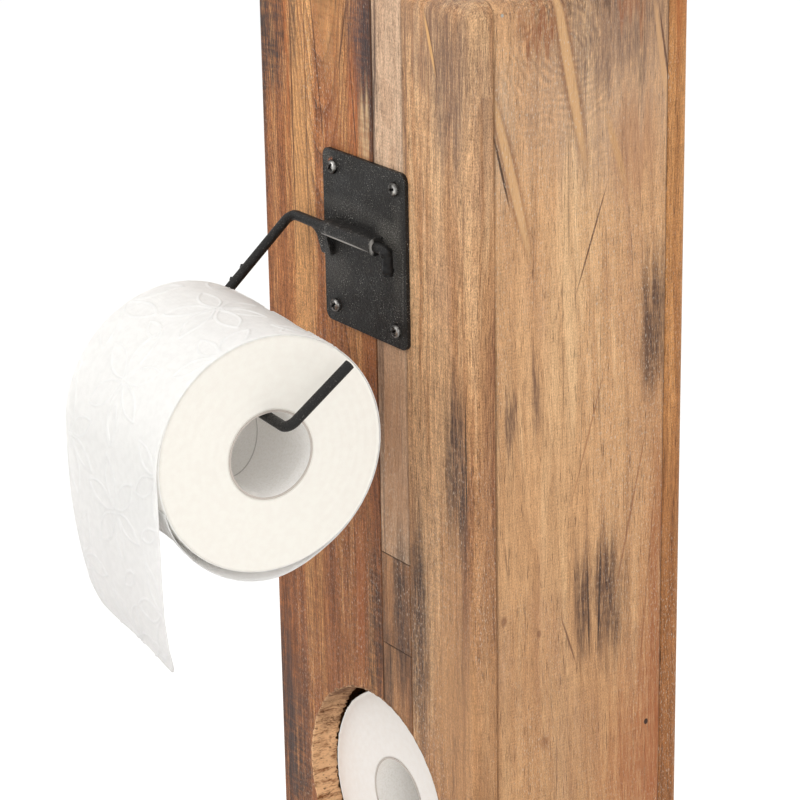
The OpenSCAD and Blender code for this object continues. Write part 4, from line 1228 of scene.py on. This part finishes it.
@dataclass(frozen=True)
class WireArm:
    """The one bent rod, with its weld beads. Lengths are in mm."""

    rod: float = 5.0
    bend: float = 5.0
    elbow: float = 4.0
    corners: tuple[Triple, ...] = (
        (32.0, -71.0, 640.6), (32.0, -71.0, 652.6), (-51.9, -71.0, 652.6), (-51.9, -141.72, 592.20),
        (68.64, -152.26, 592.20), (68.64, -117.86, 616.29),
    )
    beads: tuple[float, float] = (0.40, 0.57)
    blows: tuple[Triple, Triple] = ((30.9, -71.2, 651.6), (32.1, -71.2, 643.4))

    def recipe(self) -> bpy.types.NodeTree:
        """Makes a round rod of a bent line, and sets beads along a second line.

        Returns:
            The geometry tree.
        """
        tree, given = recipe("bent_rod", {
            "Rod Radius": "Float", "Bend Radius": "Float", "Elbow Radius": "Float", "Bead Start": "Vector",
            "Bead End": "Vector", "Bead Radius": "Float", "Blow Start": "Vector", "Blow End": "Vector",
            "Blow Radius": "Float", "Seed": "Int", "Material": "Material"})
        line = put(tree, "GeometryNodeMeshToCurve", {"Mesh": given["Geometry"]})
        first = put(tree, "FunctionNodeCompare", {2: put(tree, "GeometryNodeInputIndex"), 3: 1}, data_type="INT",
                    operation="EQUAL")
        radius = put(tree, "GeometryNodeSwitch", {"Switch": first, "False": given["Bend Radius"],
                                                  "True": given["Elbow Radius"]}, input_type="FLOAT")
        bent = put(tree, "GeometryNodeFilletCurve", {"Curve": line, "Radius": radius, "Count": 14,
                                                     "Limit Radius": False}, mode="POLY")
        ring = put(tree, "GeometryNodeCurvePrimitiveCircle", {"Resolution": 40, "Radius": given["Rod Radius"]})
        tube = put(tree, "GeometryNodeCurveToMesh", {"Curve": bent, "Profile Curve": ring, "Fill Caps": True})
        both = tree.nodes.new("GeometryNodeJoinGeometry")
        tree.links.new(tube, both.inputs[0])
        for kind, count, depth in (("Bead", 3, 0.3), ("Blow", 2, 0.12)):
            spots = put(tree, "GeometryNodeMeshLine", {
                "Count": count, "Start Location": given[f"{kind} Start"],
                "Offset": given[f"{kind} End"]}, mode="END_POINTS")
            bead = put(tree, "GeometryNodeMeshIcoSphere", {"Radius": given[f"{kind} Radius"], "Subdivisions": 4})
            here = put(tree, "GeometryNodeInputPosition")
            lumps = put(tree, NOISE, {"Vector": here, "Scale": 900.0 if kind == "Bead" else 420.0}, 0)
            bead = put(tree, "GeometryNodeSetPosition", {"Geometry": bead, "Offset": put(
                tree, VECTOR, {0: here, "Scale": put(tree, RANGE, {0: lumps, 1: 0.3, 2: 0.7, 3: -depth, 4: depth})},
                operation="SCALE")})
            size = put(tree, "FunctionNodeRandomValue", {2: 0.85, 3: 1.1, "Seed": given["Seed"]}, 1)
            turn = put(tree, "FunctionNodeRandomValue", {0: (0.0, 0.0, 0.0), 1: (3.0, 3.0, 3.0),
                                                         "Seed": given["Seed"]}, 0, data_type="FLOAT_VECTOR")
            tree.links.new(put(tree, "GeometryNodeInstanceOnPoints", {"Points": spots, "Instance": bead, "Scale": size,
                                                                      "Rotation": turn}), both.inputs[0])
        serve(tree, put(tree, "GeometryNodeSetShadeSmooth", {0: both.outputs[0]}), given["Material"])
        return tree

    def build(self) -> None:
        """Bends the rod and puts it on the arm."""
        line = bpy.data.meshes.new("rod_line")
        line.from_pydata([tuple(c * MM for c in p) for p in self.corners],
                         [(i, i + 1) for i in range(len(self.corners) - 1)], [])
        rod = linked("bent_rod", line)
        shoulder, axle = Vector(self.corners[2]), Vector(self.corners[3])
        lift = Vector((-0.9, 0.0, 0.6)).normalized() * (self.rod / 2 - 0.1)
        ends = [(shoulder.lerp(axle, share) + lift) * MM for share in self.beads]
        grow(rod, self.recipe(), {
            "Rod Radius": self.rod / 2 * MM, "Bend Radius": self.bend * MM, "Elbow Radius": self.elbow * MM,
            "Bead Start": ends[0], "Bead End": ends[1], "Bead Radius": 1.15 * MM,
            "Blow Start": Vector(self.blows[0]) * MM, "Blow End": Vector(self.blows[1]) * MM,
            "Blow Radius": 2.95 * MM, "Seed": 3,
            "Material": BlackPaint("black_paint_rod", "1D1C1B", 0.12, (
                Mark((32.0, -71.0, 646.0), (4.5, 4.5, 10.0), "080707", 0.9, crisp=True),)).material()})
        rod.data.set_sharp_from_angle(angle=math.radians(50.0))
        fit(rod, Body.ARM, "black_paint", "wire_arm")


@dataclass(frozen=True)
class Embossing:
    """Flowers and leaves pressed into tissue as thin raised outlines. Lengths are in mm."""

    spacing: float = 0.8
    pitch: float = 58.0
    petal: float = 23.0
    line: float = 0.48
    ridge: float = 0.42

    def recipe(self) -> bpy.types.NodeTree:
        """Raises a flat sheet near the outlines of scattered flowers.

        Returns:
            The geometry tree.
        """
        tree, given = recipe("embossed_tissue", {
            "Length": "Float", "Width": "Float", "Pitch": "Float", "Petal": "Float", "Line": "Float",
            "Ridge": "Float", "Seed": "Int", "Material": "Material"})
        ring = put(tree, "GeometryNodeCurvePrimitiveCircle", {"Resolution": 36, "Radius": 1.0})
        place = put(tree, SPLIT, {0: put(tree, "GeometryNodeInputPosition")}, "X")
        lens = put(tree, MATHS, {0: place, 1: put(tree, MATHS, {0: place}, operation="ABSOLUTE")},
                   operation="MULTIPLY")
        petal = put(tree, "GeometryNodeSetPosition", {"Geometry": ring, "Position": put(tree, JOIN, {
            0: put(tree, MATHS, {0: lens, 1: 0.19}, operation="MULTIPLY"),
            1: put(tree, MATHS, {0: place.node.outputs["Y"], 1: 0.5, 2: 0.58}, operation="MULTIPLY_ADD")})})
        spokes = put(tree, "GeometryNodeMeshCircle", {"Vertices": 6, "Radius": 0.001})
        fan = put(tree, MATHS, {0: put(tree, "GeometryNodeInputIndex"), 1: math.tau / 6,
                                2: put(tree, "FunctionNodeRandomValue", {2: -0.16, 3: 0.16}, 1)},
                  operation="MULTIPLY_ADD")
        flower = put(tree, "GeometryNodeInstanceOnPoints", {
            "Points": spokes, "Instance": petal, "Rotation": put(tree, JOIN, {2: fan}),
            "Scale": put(tree, "FunctionNodeRandomValue", {2: 0.72, 3: 1.15}, 1)})
        heart = put(tree, "GeometryNodeCurvePrimitiveCircle", {"Resolution": 16, "Radius": 0.07})
        whole = tree.nodes.new("GeometryNodeJoinGeometry")
        for part in (flower, heart):
            tree.links.new(part, whole.inputs[0])
        motifs = tree.nodes.new("GeometryNodeJoinGeometry")
        for shape, shift, low, high, seed in ((whole.outputs[0], 0.0, 0.95, 1.15, 2), (petal, 0.5, 0.7, 0.95, 7)):
            rows = put(tree, MATHS, {0: given["Length"], 1: given["Pitch"]}, operation="DIVIDE")
            lanes = put(tree, MATHS, {0: given["Width"], 1: given["Pitch"]}, operation="DIVIDE")
            spots = put(tree, "GeometryNodeMeshGrid", {
                "Size X": given["Length"], "Size Y": given["Width"],
                "Vertices X": put(tree, MATHS, {0: rows, 1: 1.0}, operation="ADD"),
                "Vertices Y": put(tree, MATHS, {0: put(tree, MATHS, {0: lanes}, operation="CEIL"), 1: 1.0},
                                  operation="ADD")})
            # Every second lane of motifs is moved on by half a pitch.
            lane = put(tree, MATHS, {0: place.node.outputs["Y"]}, operation="ABSOLUTE")
            half = put(tree, MATHS, {0: lane, 1: given["Width"]}, operation="DIVIDE")
            jitter = put(tree, "FunctionNodeRandomValue", {0: (-0.1, -0.1, 0.0), 1: (0.1, 0.1, 0.0), "Seed": seed},
                         0, data_type="FLOAT_VECTOR")
            jitter = put(tree, VECTOR, {0: jitter, 1: (shift, 0.0, 0.0)}, operation="ADD")
            jitter = put(tree, VECTOR, {0: jitter, 1: put(tree, JOIN, {0: half})}, operation="ADD")
            spots = put(tree, "GeometryNodeSetPosition", {"Geometry": spots, "Offset": put(
                tree, VECTOR, {0: jitter, "Scale": given["Pitch"]}, operation="SCALE")})
            size = put(tree, MATHS, {0: put(tree, "FunctionNodeRandomValue", {2: low, 3: high, "Seed": seed}, 1),
                                     1: given["Petal"]}, operation="MULTIPLY")
            turned = put(tree, "FunctionNodeRandomValue", {2: 0.0, 3: math.tau, "Seed": given["Seed"]}, 1)
            tree.links.new(put(tree, "GeometryNodeInstanceOnPoints", {
                "Points": spots, "Instance": shape, "Scale": size, "Rotation": put(tree, JOIN, {2: turned})}),
                motifs.inputs[0])
        outlines = put(tree, "GeometryNodeCurveToMesh",
                       {"Curve": put(tree, "GeometryNodeRealizeInstances", {0: motifs.outputs[0]})})
        gap = put(tree, "GeometryNodeProximity", {0: outlines}, "Distance", target_element="EDGES")
        near = put(tree, MATHS, {0: gap, 1: given["Line"]}, operation="DIVIDE")
        bell = put(tree, MATHS, {0: put(tree, MATHS, {0: near, 1: near}, operation="MULTIPLY"), 1: -1.0},
                   operation="MULTIPLY")
        bell = put(tree, MATHS, {0: bell}, operation="EXPONENT")
        rise = put(tree, MATHS, {0: bell, 1: given["Ridge"]}, operation="MULTIPLY")
        sheet = put(tree, "GeometryNodeSetPosition", {"Geometry": given["Geometry"],
                                                      "Offset": put(tree, JOIN, {2: rise})})
        serve(tree, sheet, given["Material"])
        return tree

    def heights(self, length: float, width: float, seed: int) -> np.ndarray:
        """Works out the heights of an embossed sheet.

        Args:
            length: Length of the sheet in mm.
            width: Width of the sheet in mm.
            seed: Seed of the motifs' turns.

        Returns:
            Heights in mm, as rows along the length and columns across the width.
        """
        rows, lanes = int(length / self.spacing) + 1, int(width / self.spacing) + 1
        x, y = np.linspace(-length / 2, length / 2, rows), np.linspace(-width / 2, width / 2, lanes)
        grid = np.stack([*np.meshgrid(x, y, indexing="ij"), np.zeros((rows, lanes))], axis=-1).reshape(-1, 3) * MM
        flat = mesh_object("flat_tissue", grid, [(0, 1, lanes + 1, lanes)])
        grow(flat, self.recipe(), {
            "Length": length * MM, "Width": width * MM, "Pitch": self.pitch * MM, "Petal": self.petal * MM,
            "Line": self.line * MM, "Ridge": self.ridge * MM, "Seed": seed, "Material": None})
        found = np.empty(len(flat.data.vertices) * 3, np.float32)
        flat.data.vertices.foreach_get("co", found)
        bpy.data.objects.remove(flat)
        return found.reshape(rows, lanes, 3)[:, :, 2] / MM


@dataclass(frozen=True)
class RollFrame:
    """Where a roll lies: its centre in mm, the way along its axis and the way that its front faces."""

    centre: Triple
    along: Triple
    front: Triple

    def place(self, t: Any, p: Any, q: Any) -> np.ndarray:
        """Points in metres from mm along the axis, forward and up."""
        return (np.array(self.centre) + np.multiply.outer(t, np.array(self.along))
                + np.multiply.outer(p, np.array(self.front)) + np.multiply.outer(q, (0.0, 0.0, 1.0))) * MM


@dataclass(frozen=True)
class WoundRoll:
    """The wound paper of one roll, with softly rounded rims and faintly stepped faces. Lengths are in mm."""

    name: str
    at: RollFrame
    body: Body
    node: str
    seed: int
    radius: float = 57.5
    width: float = 98.0
    bore: float = 21.65
    rim: float = 0.4
    sunk: float = 0.22
    turn_step: float = 2.1
    blend: float = 0.12
    face_rings: int = 26
    embossing: Embossing = field(default_factory=Embossing)

    def build(self, side: bpy.types.Material, face: bpy.types.Material) -> None:
        """Makes the roll.

        Args:
            side: Paper of the outer turn.
            face: Paper of the two ends.
        """
        bumps = self.embossing.heights(math.tau * self.radius, self.width, self.seed)[:-1]
        around, lanes = bumps.shape
        rng = np.random.default_rng(self.seed)
        theta = np.linspace(0.0, math.tau, around, endpoint=False)[:, None]
        t = np.linspace(-self.width / 2, self.width / 2, lanes)[None, :]
        fade = np.clip(np.minimum(theta, math.tau - theta) / self.blend, 0.0, 1.0)
        inside = np.clip((np.abs(t) - (self.width / 2 - self.rim)) / self.rim, 0.0, 1.0)
        radius = self.radius - self.embossing.ridge + bumps * fade - self.rim * (1.0 - np.sqrt(1.0 - inside**2 * 0.99))
        rows = [self.at.place(t * np.ones_like(radius), radius * np.cos(theta), radius * np.sin(theta))]
        rings = np.linspace(self.radius - self.rim - self.embossing.ridge, self.bore, self.face_rings)[None, :]
        waves = sum(0.07 * np.sin(k * theta + rng.uniform(0, 6) + rings * rng.uniform(0.02, 0.2)) for k in (1, 2, 3, 5))
        steps = 0.06 * np.sin(math.tau * rings / self.turn_step + theta + rng.uniform(0, 6))
        steps = steps + rng.normal(0.0, 0.03, rings.shape)
        for end in (-1.0, 1.0):
            level = end * (self.width / 2 - self.sunk + (waves + steps) * (1.0 - 0.5 * (rings < 23.0)))
            rows.append(self.at.place(level, rings * np.cos(theta), rings * np.sin(theta)))
        grid = np.concatenate([rows[1][:, ::-1], rows[0], rows[2]], axis=1)
        lanes = grid.shape[1]
        index = np.arange(around * lanes).reshape(around, lanes)
        nxt = np.roll(index, -1, axis=0)
        wrapped = np.roll(index, -1, axis=1), np.roll(nxt, -1, axis=1)
        faces = np.stack([index, nxt, wrapped[1], wrapped[0]], axis=-1).reshape(-1, 4).tolist()
        roll = mesh_object(self.name, grid.reshape(-1, 3), faces)
        dress(roll, side)
        roll.data.materials.append(face)
        lane = np.tile(np.arange(lanes), around)
        ends = (lane < self.face_rings - 1) | (lane >= lanes - self.face_rings)
        roll.data.polygons.foreach_set("material_index", ends.astype(np.int32))
        fit(roll, self.body, "tissue", self.node)


@dataclass(frozen=True)
class LooseSheet:
    """The last turn of the hanging roll: loose round the roll, over the top and down the front. Lengths are in mm.

    Turns are given as stations: the angle below the roll's front, in degrees, and the gap to the wound paper. From
    the "settle" angle on, the turn eases to its place at the roll's front.
    """

    at: RollFrame
    radius: float = 57.5
    width: float = 98.0
    stations: tuple[tuple[float, float], ...] = (
        (18.0, 0.3), (30.0, 1.9), (45.0, 3.0), (60.0, 3.7), (76.0, 4.3), (90.0, 4.2), (103.0, 2.4), (116.0, 0.7),
        (135.0, 0.3), (200.0, 0.3), (270.0, 0.3), (330.0, 0.3), (360.0, 0.8),
    )
    near: tuple[tuple[float, float], ...] = ((0.0, 58.4), (30.0, 58.3), (50.0, 58.0), (70.0, 57.4), (85.0, 55.6),
                                             (99.3, 52.5))
    far: tuple[tuple[float, float], ...] = ((0.0, 60.2), (22.0, 60.3), (38.0, 59.8), (54.0, 58.2), (70.0, 55.7),
                                            (86.0, 52.2), (98.0, 47.6))
    inner_gap: float = 0.15
    least_gap: float = 0.3
    settle: float = 290.0
    thickness: float = 0.25
    kept: float = 0.28
    corner: float = 7.0
    embossing: Embossing = field(default_factory=lambda: Embossing(spacing=0.55, ridge=0.55))

    def track(self, share: float, samples: int = 700) -> tuple[np.ndarray, np.ndarray]:
        """Line that the sheet follows at one place across it, from under the tail to its foot.

        Args:
            share: 0 at the far edge and 1 at the near edge.
            samples: Points to place at even steps along the line.

        Returns:
            Forward and upward places in mm.
        """
        angles, gaps = np.array(self.stations).T
        turn = np.radians(np.linspace(angles[0], 360.0, 900))
        flare = self.inner_gap + (1.0 - self.inner_gap) * float(np.clip((share - 0.84) / 0.16, 0.0, 1.0)) ** 1.2
        radius = self.radius + np.maximum(self.least_gap, flare * np.interp(np.degrees(turn), angles, gaps))
        window = 31
        ease = np.convolve(np.pad(radius, window // 2, mode="edge"), np.ones(window) / window, mode="valid")
        front = share * self.near[0][1] + (1.0 - share) * self.far[0][1]
        ease += (front - ease[-1]) * np.clip((np.degrees(turn) - self.settle) / (360.0 - self.settle), 0.0, 1.0) ** 2
        # The foot's two corners are rounded, as soft paper curls there.
        inset = max(0.0, 1.0 - min(share, 1.0 - share) * self.width / self.corner)
        foot = share * self.near[-1][0] + (1.0 - share) * self.far[-1][0]
        down = np.linspace(0.0, foot - self.corner * (1.0 - math.sqrt(1.0 - inset**2)), 300)[1:]
        hang = sum(part * np.interp(down, *np.array(side).T) for part, side in ((share, self.near),
                                                                               (1.0 - share, self.far)))
        p, q = np.concatenate([ease * np.cos(turn), hang]), np.concatenate([-ease * np.sin(turn), -down])
        run = np.concatenate([[0.0], np.cumsum(np.hypot(np.diff(p), np.diff(q)))])
        even = np.linspace(0.0, run[-1], samples)
        return np.interp(even, run, p), np.interp(even, run, q)

    def length(self) -> float:
        """Length of the sheet along its middle."""
        p, q = self.track(0.5)
        return float(np.hypot(np.diff(p), np.diff(q)).sum())

    def build(self, paper: bpy.types.Material) -> None:
        """Makes the sheet.

        Args:
            paper: Material of the tissue.
        """
        length = self.length()
        bumps = self.embossing.heights(length, self.width, 23)
        rows, lanes = bumps.shape
        tracks = np.array([self.track(j / (lanes - 1), rows) for j in range(lanes)])
        p, q = tracks[:, 0].T, tracks[:, 1].T
        dp, dq = np.gradient(p, axis=0), np.gradient(q, axis=0)
        size = np.hypot(dp, dq)
        out_p, out_q = dq / size, -dp / size
        flip = np.sign(out_p * p + out_q * q)
        flip[flip == 0] = 1.0
        share = np.linspace(0.0, 1.0, rows)[:, None]
        rim = np.linspace(0.0, self.width, lanes)
        rim = np.clip((np.minimum(rim, self.width - rim) - 0.8) / 3.0, 0.0, 1.0)[None, :]
        lift = bumps * np.clip(share / 0.03, 0.0, 1.0) * rim
        ripple = 0.5 * np.clip((share - 0.86) / 0.14, 0.0, 1.0) * np.sin(np.linspace(0.4, 8.0, lanes))[None, :]
        p = p + out_p * flip * lift + ripple
        q = q + out_q * flip * lift
        t = np.linspace(-self.width / 2, self.width / 2, lanes)[None, :] * np.ones_like(p)
        index = np.arange(rows * lanes).reshape(rows, lanes)
        faces = np.stack([index[:-1, :-1], index[1:, :-1], index[1:, 1:], index[:-1, 1:]], axis=-1)
        sheet = mesh_object("loose_sheet", self.at.place(t, p, q).reshape(-1, 3), faces.reshape(-1, 4).tolist())
        pressed = sheet.data.attributes.new("pressed", "FLOAT", "POINT")
        pressed.data.foreach_set("value", (bumps * rim / self.embossing.ridge).ravel().astype(np.float32))
        fewer = sheet.modifiers.new("fewer", "DECIMATE")
        fewer.ratio = self.kept
        body = sheet.modifiers.new("body", "SOLIDIFY")
        body.thickness, body.offset = self.thickness * MM, -1.0
        bake(sheet)
        dress(sheet, paper)
        fit(sheet, Body.ARM, "tissue", "paper_tail")


@dataclass(frozen=True)
class Rolls:
    """The hanging roll, its loose sheet and the spare roll."""

    hanging: RollFrame = RollFrame((2.193, -146.45, 574.101), (0.996195, -0.087156, 0.0), (-0.087156, -0.996195, 0.0))
    spare: RollFrame = RollFrame((2.0, -1.5, 346.8), (0.0, -1.0, 0.0), (1.0, 0.0, 0.0))

    def build(self, nodes: dict[str, bpy.types.Object]) -> None:
        """Makes the paper and gives the cores their card.

        Args:
            nodes: CAD objects by name.
        """
        side = Tissue("tissue_embossed", "F6F4F0", "F2F0EB").material()
        face = Tissue("tissue_cut_ends", "F3EFE6", "F1ECE3", 0.3).material()
        # The spare roll's cut ends are a darker copy of the cut-end paper: a painted shade for their place deep in the
        # hole.
        shaded_spare_face = Tissue("tissue_cut_ends_spare", "EBE6E1", "E9E3DD", 0.2).material()
        # The loose turn's embossed lines get a painted highlight, and its free end a painted shade from 600 mm down to
        # 470 mm.
        loose = Tissue("tissue_loose_turn", "FEFDFB", "FAF9F7", 0.45, 0.4, pressed="pressed",
                       end_shade_heights=(600.0, 470.0)).material()
        WoundRoll("wound_paper_hanging", self.hanging, Body.ROLL, "roll_paper", 4,
                  embossing=Embossing(ridge=0.12)).build(side, face)
        WoundRoll("wound_paper_spare", self.spare, Body.SPARE, "spare_roll_paper", 9,
                  embossing=Embossing(spacing=1.0)).build(side, shaded_spare_face)
        LooseSheet(self.hanging).build(loose)
        for name, at, phase in (("roll_core", self.hanging, 0.65), ("spare_roll_core", self.spare, 0.1)):
            dress(nodes[name], GreyCard(f"grey_card_{name}", at.centre, at.along, phase=phase).material())


@dataclass(frozen=True)
class Studio:
    """Camera, lamps, floor and white surround. The floor keeps the object's shadow."""

    position: Triple = (1.11995, -0.80852, 1.04520)
    forward: Triple = (-0.778115, 0.531503, -0.334725)
    up: Triple = (-0.266294, 0.203497, 0.942166)
    lens: float = 130.834
    world: float = 0.80
    glow: float = 0.25

    def camera(self) -> None:
        """Creates the camera and makes it the scene's own."""
        data = bpy.data.cameras.new("photo_camera")
        data.lens, data.sensor_width = self.lens, 36.0
        data.clip_start, data.clip_end = 0.05, 50.0
        cam = linked("photo_camera", data)
        back = -Vector(self.forward).normalized()
        right = Vector(self.up).cross(back).normalized()
        turn = Matrix((right, back.cross(right), back)).transposed().to_4x4()
        cam.matrix_world = Matrix.Translation(self.position) @ turn
        bpy.context.scene.camera = cam

    def lamp(self, name: str, place: Triple, target: Triple, power: float, size: float) -> None:
        """Adds a square soft lamp that points at a target.

        Args:
            name: Name of the lamp.
            place: Its place in metres.
            target: The place that it points at, in metres.
            power: Power in watts.
            size: Side of the square in metres.
        """
        data = bpy.data.lights.new(name, "AREA")
        data.energy, data.size = power, size
        thing = linked(name, data)
        thing.location = place
        thing.rotation_euler = (Vector(place) - Vector(target)).to_track_quat("Z", "Y").to_euler()

    def seen(self, tree: bpy.types.NodeTree) -> Any:
        """Output that is 1 for camera, glossy and transmission rays."""
        rays = tree.nodes.new("ShaderNodeLightPath").outputs
        both = put(tree, MATHS, {0: rays["Is Camera Ray"], 1: rays["Is Glossy Ray"]}, operation="ADD")
        return put(tree, MATHS, {0: both, 1: rays["Is Transmission Ray"]}, operation="ADD", use_clamp=True)

    def build(self) -> None:
        """Adds everything around the object."""
        self.camera()
        floor = mesh_object("floor", [(-8, -8, 0), (8, -8, 0), (8, 8, 0), (-8, 8, 0)], [(0, 1, 2, 3)])
        paper = bpy.data.materials.new("white_floor")
        paper.use_nodes = True
        tree, shader = paper.node_tree, paper.node_tree.nodes["Principled BSDF"]
        feed(tree, shader, {
            "Base Color": srgb("F4F4F2"), "Roughness": 0.9, "Emission Color": srgb("FFFFFF"),
            "Emission Strength": put(tree, MATHS, {0: self.seen(tree), 1: self.glow}, operation="MULTIPLY")})
        dress(floor, paper)
        self.lamp("key", (-0.5, -2.3, 2.0), (0.0, -0.05, 0.55), 20.0, 2.2)
        self.lamp("side", (2.7, -1.1, 1.3), (0.0, -0.05, 0.55), 17.0, 1.4)
        self.lamp("top", (0.2, -0.6, 2.6), (0.0, 0.0, 0.6), 11.0, 1.4)
        world = bpy.data.worlds.new("white_surround")
        bpy.context.scene.world = world
        world.use_nodes = True
        sky = world.node_tree
        strength = put(sky, RANGE, {0: self.seen(sky), 3: self.world, 4: 1.0})
        feed(sky, sky.nodes["Background"], {"Color": srgb("FFFFFF"), "Strength": strength})
        bpy.context.scene.view_settings.view_transform = "Standard"


def main() -> None:
    """Builds the pieces in order, then the studio."""
    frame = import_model()
    nodes = frame["nodes"]
    PostBoards().build(nodes)
    TornHoles().build()
    Bracket().build(nodes)
    WireArm().build()
    Rolls().build(nodes)
    Studio().build()


if __name__ == "__main__":
    logging.basicConfig(level=logging.INFO)
    main()
